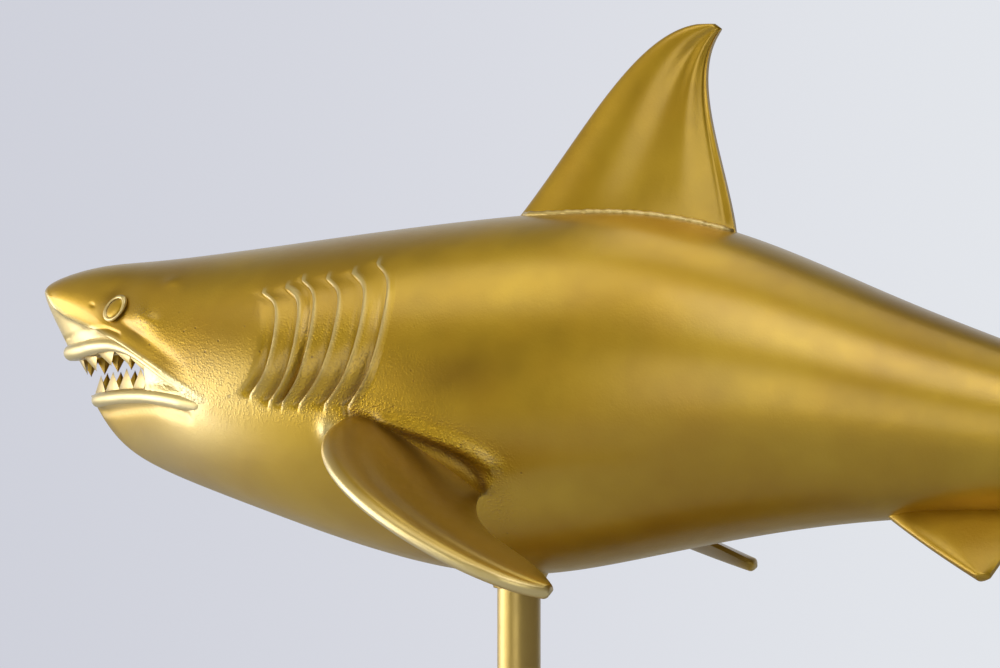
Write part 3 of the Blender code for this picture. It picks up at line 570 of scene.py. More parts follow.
middle, span = (x_of(PALATE_START) + x_of(GAPE_END)) / 2, x_of(GAPE_END) - x_of(PALATE_START)
roof, base = height_of(UPPER_EDGE(share_of(middle))), height_of(LOWER_EDGE(share_of(middle)))
inner_half = float(flank_y(middle, (roof + base) / 2)) - JAW_RIM
size = Matrix.Diagonal((span / 2, inner_half, (roof - base) / 2 + PALATE_RISE, 1))
place = Matrix.Translation((middle, 0, (roof + base) / 2)) @ size
bm = bmesh.new()
bmesh.ops.create_uvsphere(bm, u_segments=48, v_segments=24, radius=1, matrix=place)
cut(trunk, finished("palate", bm))
print("gape is", round((roof - base) * 1000, 1), "mm high")

# %% [markdown]
# Each lip is a soft roll along the jaw. A curve with a round bevel makes it. A short list gives its thickness
# and how far it stands out at places from the front of the mouth to the corner.

# %% Lips
def rolled(name, points, radii, closed=False, sides=6):
    """A round roll along the points."""
    curve = bpy.data.curves.new(name, "CURVE")
    curve.dimensions, curve.bevel_depth, curve.bevel_resolution = "3D", 1.0, sides
    curve.use_fill_caps = not closed
    spline = curve.splines.new("POLY")
    spline.points.add(len(points) - 1)
    spline.use_cyclic_u = closed
    for place, point, radius in zip(spline.points, points, radii):
        place.co, place.radius = (*point, 1), radius
    guide = bpy.data.objects.new(name, curve)
    bpy.context.scene.collection.objects.link(guide)
    bpy.context.view_layer.update()
    mesh = bpy.data.meshes.new_from_object(guide.evaluated_get(bpy.context.evaluated_depsgraph_get()))
    bpy.data.objects.remove(guide)
    bm = bmesh.new()
    bm.from_mesh(mesh)
    bmesh.ops.remove_doubles(bm, verts=bm.verts, dist=1e-6)
    return finished(name, bm)


def evenly(points, count):
    """Points at equal steps along a line."""
    points = np.asarray(points, float)
    walked = np.concatenate(([0], np.cumsum(np.linalg.norm(np.diff(points, axis=0), axis=1))))
    even = np.linspace(0, walked[-1], count + 1)
    return np.stack([np.interp(even, walked, points[:, axis]) for axis in range(3)], axis=-1)


def jaw_line(edge, rise, inset, end_share, count, rounding=2):
    """Evenly spaced points along a jaw from its right end round the front to the left."""
    shares = np.linspace(0.001, 0.06, 600)
    level = edge(shares) + rise / DEPTH
    front = shares[np.argmax(CURVES[1](np.sqrt(shares)) < level)]
    across = np.linspace(1, -1, 801)
    share = front + (end_share - front) * across**2
    x, z = x_of(share), height_of(edge(share) + rise / DEPTH)
    points = evenly(np.stack((x, np.sign(across) * flank_y(x, z), z), axis=-1), count)
    for _ in range(round(rounding * (count / 26) ** 2)):
        points[1:-1] += ((points[:-2] + points[2:]) / 2 - points[1:-1]) / 2
    return points + inset * inward_of(points)


def inward_of(points):
    """The level direction into the mouth at each point of a jaw."""
    run = np.gradient(points, axis=0)
    inward = np.stack((-run[:, 1], run[:, 0], 0 * run[:, 0]), axis=-1)
    return inward / np.linalg.norm(inward, axis=1, keepdims=True)


def lip(name, edge, radius, up, profile, reach=0.0):
    """A roll along a jaw. The profile gives its size and how many millimetres it stands out, along the body."""
    shares, sizes, proud = np.array(profile).T
    points = jaw_line(edge, up * (radius - LIP_DIP), 0, MOUTH_CORNER, 200)
    points[:, 0] -= reach * np.maximum(1 - (points[:, 1] / 0.016) ** 2, 0)
    place = share_of(points[:, 0])
    radii = radius * np.interp(place, shares, sizes)
    points[:, 2] += up * (radii - radius)
    points += (radii - np.interp(place, shares, proud) / 1000)[:, None] * inward_of(points)
    return rolled(name, points, radii, sides=9)


LIP_DIP = 0.0007
UPPER_PROFILE = (
    (0.02, 1.0, 4.2), (0.055, 1.0, 4.0), (0.08, 0.85, 2.3), (0.105, 0.55, 0.9), (0.13, 0.35, 0.3),
    (0.174, 0.2, -0.5),
)
LOWER_PROFILE = (
    (0.03, 1.0, 3.8), (0.07, 1.0, 3.4), (0.11, 1.05, 2.3), (0.15, 1.25, 1.5), (0.166, 1.2, 0.3),
    (0.174, 0.9, -1.6),
)
upper_lip = lip("upper_lip", UPPER_EDGE, 0.0038, 1, UPPER_PROFILE, reach=0.0028)
lower_lip = lip("lower_lip", LOWER_EDGE, 0.0034, -1, LOWER_PROFILE)

# %% [markdown]
# The teeth are broad three-sided spikes, cast with the jaws and hardly dressed. Each is a cone of three
# sides. Its flat side faces outwards, and its edges are eased a little. The near teeth are placed one by one,
# and the far row is closer together, with seven narrower teeth at equal steps.

# %% Teeth
UPPER_TEETH = (
    (0.0058, 0.0084, 0.0066), (0.0166, 0.0142, 0.0066), (0.0314, 0.0172, 0.0064), (0.0464, 0.0148, 0.0062),
    (0.0594, 0.0124, 0.0060),
)
LOWER_TEETH = (
    (0.0087, 0.0132, 0.0082), (0.0214, 0.0146, 0.0086), (0.0344, 0.0146, 0.0094), (0.0475, 0.0146, 0.0092),
)
FAR_TEETH, FAR_START, FAR_STEP, FAR_WIDTH = 7, 0.0060, 0.0068, 0.0094
TOOTH_THICKNESS, TOOTH_INSET, TOOTH_EASING, TOOTH_SINK, BLUNT_TIP = 0.0036, 0.0022, 0.00022, 0.0004, 0.03


def teeth(name, edge, near, far, rake, up):
    """Teeth from lists of places along the jaw, widths and heights, one list for each side."""
    line = jaw_line(edge, 0.0, TOOTH_INSET, GAPE_END, 240, rounding=0)[120:]
    walked = np.concatenate(([0], np.cumsum(np.linalg.norm(np.diff(line, axis=0), axis=1))))
    bm = bmesh.new()
    for side, row, tilt in ((1, near, rake), (-1, far, 0)):
        for place, width, height in row:
            i = int(np.searchsorted(walked, place))
            run = Vector(line[i] - line[i - 1])
            run.z = 0
            along, foot = run.normalized(), Vector(line[i]) + Vector((0, 0, up * LIP_DIP))
            along.y, foot.y = along.y * side, foot.y * side
            outward = Vector((along.y, -along.x, 0)) * side
            add_tooth(bm, foot, along * width, outward, height, tilt, up)
    bmesh.ops.bevel(bm, geom=bm.edges[:], offset=TOOTH_EASING, segments=2, profile=0.5, affect="EDGES")
    return finished(name, bm, 40)


def add_tooth(bm, foot, across, outward, height, rake, up):
    """A three-sided spike: its flat face looks outwards, and its tip is a little blunt."""
    thick = outward * TOOTH_THICKNESS
    corners = (across / 2, across / -2, -thick)
    tip = foot - thick / 3 + Vector((rake, 0, up * height))
    made = bmesh.ops.create_cone(bm, cap_ends=True, segments=3, radius1=1, radius2=0.05, depth=2)["verts"]
    for vert in made:
        corner = corners[round(math.atan2(vert.co.x, vert.co.y) / math.radians(120)) % 3]
        if vert.co.z < 0:
            vert.co = foot + corner - Vector((0, 0, up * TOOTH_SINK))
        else:
            vert.co = tip + corner * BLUNT_TIP


def far_row(height):
    return [(FAR_START + FAR_STEP * i, FAR_WIDTH, height) for i in range(FAR_TEETH)]


upper_teeth = teeth("upper_teeth", UPPER_EDGE, UPPER_TEETH, far_row(0.0078), 0.0022, -1)
lower_teeth = teeth("lower_teeth", LOWER_EDGE, LOWER_TEETH, far_row(0.0094), -0.0010, 1)
print("teeth faces", len(upper_teeth.data.polygons) + len(lower_teeth.data.polygons))

# %% [markdown]
# The fins are thin castings too. A fin is a grid again: each row is a section with a rounded leading edge,
# fullest a third of the way back and blunt at the trailing edge. The rows follow two curves from the root to
# the tip.

# %% Fins
FIN_EDGE, FIN_NOSE, TIP_ROUNDING, ROOT_DEPTH = 0.0022, 0.3, 0.025, 0.012


def bezier(points, share):
    share = np.asarray(share, float)[..., None]
    a, b, c, d = (np.array(point) for point in points)
    left = 1 - share
    return a * left**3 + 3 * b * share * left**2 + 3 * c * share**2 * left + d * share**3


def half_thickness(chord, thickness):
    """Half of a wing section by the four-digit NACA formula, with a blunt rear edge added."""
    wing = 2.969 * np.sqrt(chord) - 1.26 * chord - 3.516 * chord**2 + 2.843 * chord**3 - 1.036 * chord**4
    return wing * thickness / 2 + FIN_EDGE / 2 * (FIN_NOSE + (1 - FIN_NOSE) * chord)


def fin_points(lead, trail, thick, root_depth, spans=60, chords=44, relief=None, heel_drop=0.0):
    """Rows of points of a fin in its own plane, each running round the section. A heel drop twists the root."""
    shares = 1 - (1 - np.linspace(0, 1, spans)) ** 1.3
    front, rear = bezier(lead, shares), bezier(trail, shares)
    if root_depth:
        shares = np.concatenate(([0], shares))
        front = np.concatenate((front[:1] - (0, root_depth), front))
        rear = np.concatenate((rear[:1] - (0, root_depth), rear))
    chord = (1 - np.cos(np.pi * np.linspace(0, 1, chords))) / 2
    middle = front[:, None] + (rear - front)[:, None] * chord[None, :, None]
    size = thick[0] + (thick[1] - thick[0]) * shares[:, None] ** 0.8
    rounding = np.clip((shares[:, None] - 1 + TIP_ROUNDING) / TIP_ROUNDING, 0, 0.97)
    half = half_thickness(chord[None], size) * np.sqrt(1 - rounding**2)
    drop = heel_drop * chord[None] * (1 - shares[:, None]) ** 3
    upper, lower = drop + half, drop - half
    if relief:
        upper += relief(shares[:, None], chord[None], middle[..., 0], middle[..., 1])
        lower -= relief(shares[:, None], chord[None], middle[..., 0], middle[..., 1])
    top = np.stack((middle[..., 0], upper, middle[..., 1]), axis=-1)
    bottom = np.stack((middle[..., 0], lower, middle[..., 1]), axis=-1)
    return np.concatenate((top, bottom[:, ::-1], top[:, :1]), axis=1)


def placed(points, place):
    turn = np.array(place)
    return points @ turn[:3, :3].T + turn[:3, 3]


def upright(share, flip=False):
    back, belly = section(x_of(share))[:2]
    height = float(belly if flip else back)
    return Matrix.Translation((x_of(share), 0, height)) @ Matrix.Diagonal((1, 1, -1 if flip else 1, 1))


def mirrored(piece):
    """The same piece on the near side as well, in one mesh."""
    bm = bmesh.new()
    bm.from_mesh(piece.data)
    copied = bmesh.ops.duplicate(bm, geom=bm.verts[:] + bm.edges[:] + bm.faces[:])["geom"]
    bmesh.ops.scale(bm, vec=(1, -1, 1), verts=[v for v in copied if isinstance(v, bmesh.types.BMVert)])
    bpy.data.objects.remove(piece)
    return bm


# %% [markdown]
# The tall back fin is softly dished on both faces by the dressing of the pattern, and keeps a fine raised rim
# close to its trailing edge.

# %% Tall back fin
DORSAL_LEAD = ((0.000, 0.000), (0.034, 0.041), (0.060, 0.0905), (0.0945, 0.0860))
DORSAL_TRAIL = ((0.1045, -0.008), (0.099, 0.026), (0.081, 0.063), (0.0978, 0.0836))
DORSAL_PLACE, DORSAL_THICK = 0.400, (0.0170, 0.0034)


def dorsal_relief(share, chord, x, z):
    """A long dish, a swell behind it and a rim along the trailing edge. All fade towards root and tip."""
    across = 4 * chord * (1 - chord)
    fade = np.interp(share, (0, 0.15, 0.8, 1), (0.2, 1, 1, 0))
    dish = -0.0011 * bell(chord - 0.46 - 0.16 * share, 0.15) * fade
    swell = 0.0005 * bell(chord - 0.78, 0.09) * np.interp(share, (0, 0.2, 0.8, 1), (0, 1, 1, 0))
    rim = 0.00035 * bell(1 - chord, 0.022) - 0.0003 * bell(chord - 0.955, 0.016)
    return (dish + swell) * np.minimum(across * 3, 1) + rim * np.interp(share, (0, 0.05, 0.95, 1), (0, 1, 1, 0))


points = fin_points(DORSAL_LEAD, DORSAL_TRAIL, DORSAL_THICK, ROOT_DEPTH, 90, 72, dorsal_relief)
points = placed(points, upright(DORSAL_PLACE))
points[..., 2] = np.minimum(points[..., 2], cad_box[1][2])
dorsal = wrapped("dorsal_fin", points, 50)

# %% [markdown]
# A thin bead runs round the foot of the tall fin, where it was welded on. It was dressed by hand, so its
# thickness wavers a little.

# %% Bead at the fin's foot
BEAD_START, BEAD_END, BEAD_OUT = 0.0033, 0.0020, 0.0012
BEAD_RADIUS, BEAD_WAVER, BEAD_POINTS = 0.0016, 0.00025, 240
chord = (1 - np.cos(np.pi * np.linspace(0, 1, 60))) / 2
half = half_thickness(chord, DORSAL_THICK[0]) + BEAD_OUT
bead_length = DORSAL_TRAIL[0][0] - BEAD_START - BEAD_END
bead_x = x_of(DORSAL_PLACE) + BEAD_START + bead_length * np.concatenate((chord, chord[::-1]))
bead_y = np.concatenate((half, -half[::-1]))
back, belly, widest, half_width, fullness = section(bead_x)
bead_z = widest + (back - widest) * np.sqrt(1 - np.clip(bead_y / half_width, -1, 1) ** 2)
bead_points = evenly(np.stack((bead_x, bead_y, bead_z), axis=-1), BEAD_POINTS)
numbers = np.arange(BEAD_POINTS + 1)
bead_radii = BEAD_RADIUS + BEAD_WAVER * np.sin(numbers * 0.83) * np.sin(numbers * 0.29)
foot_bead = rolled("foot_bead", bead_points, bead_radii, closed=True)
print("tall fin faces", len(dorsal.data.polygons))

# %% [markdown]
# The breast fins hang down and out from the flanks. Their leading edges are a full round roll that catches
# the light, and the face behind it is slightly hollow.

# %% Breast fins
PECTORAL_LEAD = ((0.000, 0.000), (-0.012, 0.0705), (0.1185, 0.108), (0.1465, 0.0833))
PECTORAL_TRAIL = ((0.0715, 0.000), (0.092, 0.065), (0.120, 0.0502), (0.146, 0.0778))
PECTORAL_DROOP, PECTORAL_PITCH, PECTORAL_INSET = math.radians(16.5), math.radians(20), 0.0025


def sideways(at, droop, pitch, inset):
    x, z = x_of(at[0]), height_of(at[1])
    place = Matrix.Translation((x, float(flank_y(x, z)) - inset, z)) @ Matrix.Rotation(pitch, 4, "Y")
    return place @ Matrix.Rotation(-math.pi / 2 - droop, 4, "X")


def pectoral_relief(share, chord, x, z):
    groove = -0.0007 * bell(chord - 0.23, 0.07) * np.interp(share, (0, 0.1, 0.9, 1), (0, 1, 0.7, 0))
    roll = 0.0004 * bell(chord - 0.07, 0.06) * np.interp(share, (0, 0.1, 0.9, 1), (0, 1, 0.6, 0))
    return groove + roll


thick = (0.0150, 0.0055)
points = fin_points(PECTORAL_LEAD, PECTORAL_TRAIL, thick, ROOT_DEPTH, 90, 60, pectoral_relief, heel_drop=0.0097)
root = sideways((0.298, 0.428), PECTORAL_DROOP, PECTORAL_PITCH, PECTORAL_INSET)
points = placed(points, root)
points[..., 1] = np.minimum(points[..., 1], cad_box[1][1])
right = wrapped("breast_fin", points, 50)
pectorals = finished("breast_fins", mirrored(right), 50)
print("breast fin faces", len(pectorals.data.polygons))


def painted_light_of_pectorals(spots):
    """A painted highlight lies on the roll along the leading edge, and painted shade on the face behind it."""
    lead = bezier(PECTORAL_LEAD, np.linspace(0, 1, 80))
    lead = placed(np.stack((lead[:, 0], 0 * lead[:, 0], lead[:, 1]), axis=-1), root)
    nearest = np.full(len(spots), 1.0)
    for point in lead:
        away = np.linalg.norm(np.abs(spots) * (0, 1, 0) + spots * (1, 0, 1) - point, axis=1)
        nearest = np.minimum(nearest, away)
    return np.interp(nearest, (0.0012, 0.0030, 0.0060, 0.0120), (1.0, 0.5, -0.2, -0.7))


# %% [markdown]
# The small fins of the rear half, the tail fin and the keels beside its stalk are outside the photograph.
# They are made in the same way, and plainly.

# %% Fins of the rear half
def simple_fin(name, lead, trail, thick, place, root_depth=ROOT_DEPTH, spans=40, chords=32):
    return wrapped(name, placed(fin_points(lead, trail, thick, root_depth, spans, chords), place), 50)


PELVIC_LEAD = ((0.000, 0.000), (0.014, 0.012), (0.034, 0.027), (0.052, 0.0388))
PELVIC_TRAIL = ((0.068, 0.000), (0.065, 0.012), (0.061, 0.026), (0.057, 0.0378))
pelvic_turn = Matrix.Rotation(-math.pi / 2 - math.radians(45), 4, "X")
pelvic_place = Matrix.Translation((x_of(0.690), 0.010, height_of(0.186))) @ pelvic_turn
right = simple_fin("belly_fin", PELVIC_LEAD, PELVIC_TRAIL, (0.0085, 0.0040), pelvic_place, 0.004)
pelvics = finished("belly_fins", mirrored(right), 50)

SMALL_LEAD = ((0.000, 0.000), (0.006, 0.008), (0.012, 0.015), (0.020, 0.015))
SMALL_TRAIL = ((0.020, -0.004), (0.018, 0.002), (0.018, 0.008), (0.026, 0.011))
second_dorsal = simple_fin("second_back_fin", SMALL_LEAD, SMALL_TRAIL, (0.0060, 0.0028), upright(0.862))
anal = simple_fin("anal_fin", SMALL_LEAD, SMALL_TRAIL, (0.0060, 0.0028), upright(0.885, flip=True))

UPPER_TAIL = (
    ((0.000, 0.000), (0.028, 0.022), (0.064, 0.062), (0.094, 0.098)),
    ((0.046, 0.000), (0.050, 0.022), (0.074, 0.066), (0.0965, 0.095)),
)
LOWER_TAIL = (
    ((0.000, 0.000), (0.024, 0.020), (0.054, 0.052), (0.070, 0.078)),
    ((0.046, 0.000), (0.050, 0.014), (0.058, 0.046), (0.0730, 0.0755)),
)
TAIL_THICK = (0.0130, 0.0036)
tail_root = Matrix.Translation((x_of(0.955), 0, height_of(0.368)))
tail_below = tail_root @ Matrix.Diagonal((1, 1, -1, 1))
upper_points = placed(fin_points(*UPPER_TAIL, TAIL_THICK, 0, 60, 40), tail_root)
lower_points = placed(fin_points(*LOWER_TAIL, TAIL_THICK, 0, 60, 40), tail_below)
tail = wrapped("tail_fin", np.concatenate((lower_points[:0:-1], upper_points)), 50)

bm = bmesh.new()
keel_half = float(section(x_of(0.955))[3]) + 0.0045
keel_place = tail_root @ Matrix.Diagonal((0.075 / 2, keel_half, 0.005 / 2, 1))
bmesh.ops.create_uvsphere(bm, u_segments=64, v_segments=24, radius=1, matrix=keel_place)
keels = finished("tail_keels", bm)
print("rear fins done")

# %% [markdown]
# Each eye is an oval rim round a low flat dome. The rim is broad at its two long ends and thin between them.

# %% Eyes
EYE_LENGTH, EYE_WIDTH, EYE_RING, EYE_DOME = 0.0146, 0.0112, 0.0010, 0.0010


def flank_normal(x, z):
    step = 0.001
    along = Vector((2 * step, float(flank_y(x + step, z) - flank_y(x - step, z)), 0))
    up = Vector((0, float(flank_y(x, z + step) - flank_y(x, z - step)), 2 * step))
    return up.cross(along).normalized()


x, z = x_of(0.0816), height_of(0.740)
outward = flank_normal(x, z)
middle = Vector((x, float(flank_y(x, z)), z))
back_axis = (Vector((1, 0, 0)) - outward * outward.x).normalized()
raised = outward.cross(back_axis)
raised = raised if raised.z > 0 else -raised
long_axis = back_axis * math.cos(EYE_TILT) + raised * math.sin(EYE_TILT)
short_axis = outward.cross(long_axis)
turns = np.linspace(0, 2 * math.pi, 72, endpoint=False)
reach_long, reach_short = EYE_LENGTH / 2 - EYE_RING, EYE_WIDTH / 2 - EYE_RING
outline = []
for turn in turns:
    long_part, short_part = long_axis * math.cos(turn) * reach_long, short_axis * math.sin(turn) * reach_short
    outline.append(middle + long_part + short_part)
outline = np.array(outline)
outline[:, 1] = flank_y(outline[:, 0], outline[:, 2])
rim = rolled("eye_rim", outline, EYE_RING * (0.70 + 0.55 * np.cos(turns) ** 2), closed=True)
eye_rims = finished("eye_rims", mirrored(rim))
bm = bmesh.new()
axes = Matrix((long_axis, short_axis, outward)).transposed().to_4x4()
size = Matrix.Diagonal((EYE_LENGTH / 2 - EYE_RING * 1.9, EYE_WIDTH / 2 - EYE_RING * 1.9, EYE_DOME, 1))
place = Matrix.Translation(middle) @ axes @ size
bmesh.ops.create_uvsphere(bm, u_segments=48, v_segments=24, radius=1, matrix=place)
dome = finished("eye_dome", bm)
eye_domes = finished("eye_domes", mirrored(dome))
print("eyes at", [round(v, 4) for v in middle])

# %% [markdown]
# The post is a plain tube that enters a short boss under the belly. The boss flares into the belly in a
# fillet. The foot plate is the imported model's own, because its form is final.

# %% Boss and post
def turned(name, outline, segments=96, sharp=30):
    """A solid that is turned from an outline of radius and height pairs."""
    bm = bmesh.new()
    verts = [bm.verts.new((radius, 0, z)) for radius, z in outline]
    edges = [bm.edges.new(pair) for pair in zip(verts, verts[1:])]
    spun = {"axis": (0, 0, 1), "cent": (0, 0, 0), "angle": 2 * math.pi}
    bmesh.ops.spin(bm, geom=verts + edges, **spun, steps=segments, use_merge=True)
    bmesh.ops.remove_doubles(bm, verts=bm.verts, dist=1e-6)
    return finished(name, bm, sharp)


BOSS_FOOT, POST_TOP, SHOULDER, SPIGOT_FOOT = 0.1635, 0.1832, 0.0123, 0.0035
BORE, POST_RADIUS, SPIGOT_RADIUS = 0.0103, 0.0100, 0.0060
FLARE_OUT, FLARE_UP = 0.0076, 0.0124
boss_outline = [(BORE, POST_TOP + 0.0003), (BORE, BOSS_FOOT + 0.0003), (0.0106, BOSS_FOOT)]
boss_outline += [(0.0115, BOSS_FOOT), (0.0119, BOSS_FOOT + 0.0004)]
for t in np.linspace(0.05, 1, 12):
    boss_outline.append((0.0120 + FLARE_OUT * t**2.2, BOSS_FOOT + 0.0006 + FLARE_UP * t))
boss = turned("belly_boss", boss_outline)
post_outline = [(0, POST_TOP), (0.0090, POST_TOP), (POST_RADIUS, POST_TOP - 0.0010), (POST_RADIUS, 0.0129)]
post_outline += [(0.0094, SHOULDER), (SPIGOT_RADIUS, SHOULDER), (SPIGOT_RADIUS, 0.0038)]
post_outline += [(0.0057, SPIGOT_FOOT), (0, SPIGOT_FOOT)]
post = turned("post", post_outline)
print("boss and post turned")

# %% [markdown]
# Everything is cast metal under a satin gold lacquer, so one material does for all of it. Two short functions
# come first: one reads a colour, and one adds a node and fills its inputs.

# %% Colours and nodes
def colour(text):
    """A colour written as its sRGB hex, as Blender's linear values."""
    parts = [int(text[i : i + 2], 16) / 255 for i in (1, 3, 5)]
    return tuple(c / 12.92 if c <= 0.04045 else ((c + 0.055) / 1.055) ** 2.4 for c in parts) + (1.0,)


def node(tree, kind, settings=None, **inputs):
    """Adds a node, sets its properties and fills or links its inputs."""
    made = tree.nodes.new(kind)
    for key, value in (settings or {}).items():
        setattr(made, key, value)
    for key, value in inputs.items():
        name = key.replace("_", " ")
        found = [i for i in made.inputs if i.name.lower() == name.lower() and i.enabled]
        socket = found[0] if not key[-1].isdigit() else made.inputs[int(key[-1])]
        if isinstance(value, bpy.types.NodeSocket):
            tree.links.new(value, socket)
        else:
            socket.default_value = value
    return made


def ramp(tree, factor, *stops):
    made = node(tree, "ShaderNodeValToRGB", Fac=factor)
    elements = made.color_ramp.elements
    while len(elements) < len(stops):
        elements.new(0.5)
    for element, (place, value) in zip(elements, stops):
        element.position = place
        element.color = value if isinstance(value, tuple) else (value, value, value, 1)
    return made.outputs["Color"]


# %% [markdown]
# The lacquer has a fine orange peel, the casting under it has soft waves, and in places the sand has left pits
# and pebbles. A pattern's scale is the number of its cells in a metre: patches of tone are 62 mm across, waves
# 18 mm, lumps of weld metal 2.6 mm, and orange peel and sand grains a little over 1 mm. One cell in a few of
# 4.8 mm holds a pit. Two attributes steer all this: `pebble` says how grainy a place is, and the second how
# much painted highlight or painted shade goes into the colour.

# %% Patterns of the casting
PATCHES, WAVES, PEEL, GRAINS, LUMPS, PIT_CELLS = 16.0, 55.0, 900.0, 850.0, 380.0, 210.0
TIMES, BLEND = {"operation": "MULTIPLY"}, {"data_type": "RGBA"}


def grains_and_lumps(tree, place, grainy):
    """Sand grains stand a little proud, and the weld zones have lumps between them as well."""
    soft = {"feature": "SMOOTH_F1"}
    cells = node(tree, "ShaderNodeTexVoronoi", soft, Vector=place, Scale=GRAINS, Smoothness=0.4)
    height = ramp(tree, cells.outputs["Distance"], (0.05, 1.0), (0.55, 0.0))
    grains = node(tree, "ShaderNodeMath", TIMES, n0=height, n1=grainy).outputs["Value"]
    lumps = node(tree, "ShaderNodeTexNoise", Vector=place, Scale=LUMPS, Detail=2.0, Roughness=0.6)
    weld = ramp(tree, grainy, (0.55, 0.0), (0.85, 1.0))
    return grains, node(tree, "ShaderNodeMath", TIMES, n0=lumps.outputs["Fac"], n1=weld).outputs["Value"]


def pits_of(tree, place, grainy):
    """Pits are few: a cell of the pattern has one only where its random colour is dark."""
    cells = node(tree, "ShaderNodeTexVoronoi", Vector=place, Scale=PIT_CELLS)
    chosen = ramp(tree, cells.outputs["Color"], (0.22, 1.0), (0.26, 0.0))
    dimple = ramp(tree, cells.outputs["Distance"], (0.08, 1.0), (0.15, 0.0))
    pitted = ramp(tree, grainy, (0.08, 0.0), (0.25, 1.0))
    pits = node(tree, "ShaderNodeMath", TIMES, n0=chosen, n1=dimple).outputs["Value"]
    return node(tree, "ShaderNodeMath", TIMES, n0=pits, n1=pitted).outputs["Value"]


def tone_of(tree, place, painted_light, pits):
    """Three close golds in patches, darker in pits, with painted shade in hollows and a pale painted highlight
    where light falls.
    """
    patches = node(tree, "ShaderNodeTexNoise", Vector=place, Scale=PATCHES, Detail=3.0, Roughness=0.55)
    golds = (0.30, colour("#B48E22")), (0.52, colour("#BE9A28")), (0.72, colour("#C8A530"))
    tone = ramp(tree, patches.outputs["Fac"], *golds)
    painted_highlight = ramp(tree, painted_light, (0.0, 0.0), (1.0, 1.0))
    painted_shade = node(tree, "ShaderNodeMath", TIMES | {"use_clamp": True}, n0=painted_light, n1=-1.0).outputs["Value"]
    # Pits are darker, painted shade darkens the hollows and a painted highlight makes lit places pale.
    for share, shade in ((pits, "#8A6A1E"), (painted_highlight, "#DCCA96"), (painted_shade, "#7C5C12")):
        tone = node(tree, "ShaderNodeMix", BLEND, n0=share, n6=tone, n7=colour(shade)).outputs[2]
    return tone


# %% [markdown]
# The bumps lie one on another, from the broad waves to the pits, which go inwards. The lacquer is a metal
# colour under a clear coat.

# %% Gold lacquer
COAT_WEIGHT, COAT_ROUGHNESS = 1.0, 0.26


def gold(name):
    """Satin gold lacquer over a sand casting."""
    material = bpy.data.materials.new(name)
    material.use_nodes = True
    tree = material.node_tree
    tree.nodes.clear()
    place = node(tree, "ShaderNodeTexCoord").outputs["Object"]
    grainy = node(tree, "ShaderNodeAttribute", {"attribute_name": "pebble"}).outputs["Fac"]
    # This attribute holds painted highlight above 0 and painted shade below 0.
    painted_light = node(tree, "ShaderNodeAttribute", {"attribute_name": "painted_light"}).outputs["Fac"]
    waves = node(tree, "ShaderNodeTexNoise", Vector=place, Scale=WAVES, Detail=3.0, Roughness=0.5)
    peel = node(tree, "ShaderNodeTexNoise", Vector=place, Scale=PEEL, Detail=2.0, Roughness=0.5)
    waves, peel = waves.outputs["Fac"], peel.outputs["Fac"]
    grains, lumpy = grains_and_lumps(tree, place, grainy)
    pits = pits_of(tree, place, grainy)

    # Each bump is a pattern, its strength, its depth in metres and whether it goes inwards.
    bumps = (
        (waves, 0.25, 0.0012, False),
        (peel, 0.22, 0.0003, False),
        (lumpy, 0.7, 0.0006, False),
        (grains, 0.8, 0.0004, False),
        (pits, 0.6, 0.0004, True),
    )
    under = {}
    for height, strength, depth, inwards in bumps:
        inputs = {"Strength": strength, "Distance": depth, "Height": height}
        bump = node(tree, "ShaderNodeBump", {"invert": inwards}, **inputs, **under)
        under = {"Normal": bump.outputs["Normal"]}
    tone, shine = tone_of(tree, place, painted_light, pits), ramp(tree, waves, (0.32, 0.40), (0.70, 0.48))
    shader = node(tree, "ShaderNodeBsdfPrincipled", Base_Color=tone, Metallic=1.0, Roughness=shine, **under)
    shader.inputs["Coat Weight"].default_value = COAT_WEIGHT
    shader.inputs["Coat Roughness"].default_value = COAT_ROUGHNESS
    tree.links.new(shader.outputs["BSDF"], node(tree, "ShaderNodeOutputMaterial").inputs["Surface"])
    return material


lacquer = gold("satin_gold_lacquer")

# %% [markdown]
# Each piece gets the lacquer and its two attributes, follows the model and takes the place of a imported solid.

# %% Dressing the pieces


def write(piece, name, values):
    """Stores one number for each point of a piece, for the material to read."""
    piece.data.attributes.new(name, "FLOAT", "POINT").data.foreach_set("value", values.astype(np.float32))


def dress(piece, replaced):
    piece.data.materials.append(lacquer)
    values = np.zeros(len(piece.data.vertices) * 3)
    piece.data.vertices.foreach_get("co", values)
    spots = values.reshape(-1, 3)
    write(piece, "pebble", roughness_of_skin(*spots.T) if piece is trunk else np.zeros(len(spots)))
    # The second attribute is painted highlight above 0 and painted shade below 0.
    if piece is trunk:
        painted_light = painted_light_of_skin(*spots.T)
    elif piece is pectorals:
        painted_light = painted_light_of_pectorals(spots)
    elif piece in (upper_teeth, lower_teeth):
        # The near teeth get a painted highlight and the far teeth painted shade.
        painted_light = np.where(spots[:, 1] < 0, 0.6, -0.1)
    else:
        painted_light = np.full(len(spots), PAINTED_LIGHT_OF_PIECES.get(piece, 0.0))
    write(piece, "painted_light", painted_light)
    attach(piece, "root")
    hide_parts(replaced)


# Whole pieces with a painted highlight: the lips, the eye rims, the foot bead and the post.
PAINTED_LIGHT_OF_PIECES = {upper_lip: 1.0, lower_lip: 1.0, eye_rims: 0.8, foot_bead: 0.6, post: 0.4}
casting = [trunk, upper_lip, lower_lip, upper_teeth, lower_teeth, dorsal, foot_bead, pectorals, pelvics]
casting += [second_dorsal, anal, tail, keels, eye_rims, eye_domes, boss]
for piece in casting:
    dress(piece, "shark_casting")
dress(post, "stand_post")
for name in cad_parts:
    if name == "base_plate":
        plate = bpy.data.objects[name]
        for place in plate.material_slots:
            place.link = "OBJECT"
            place.material = lacquer
print("pieces", len(casting) + 1)

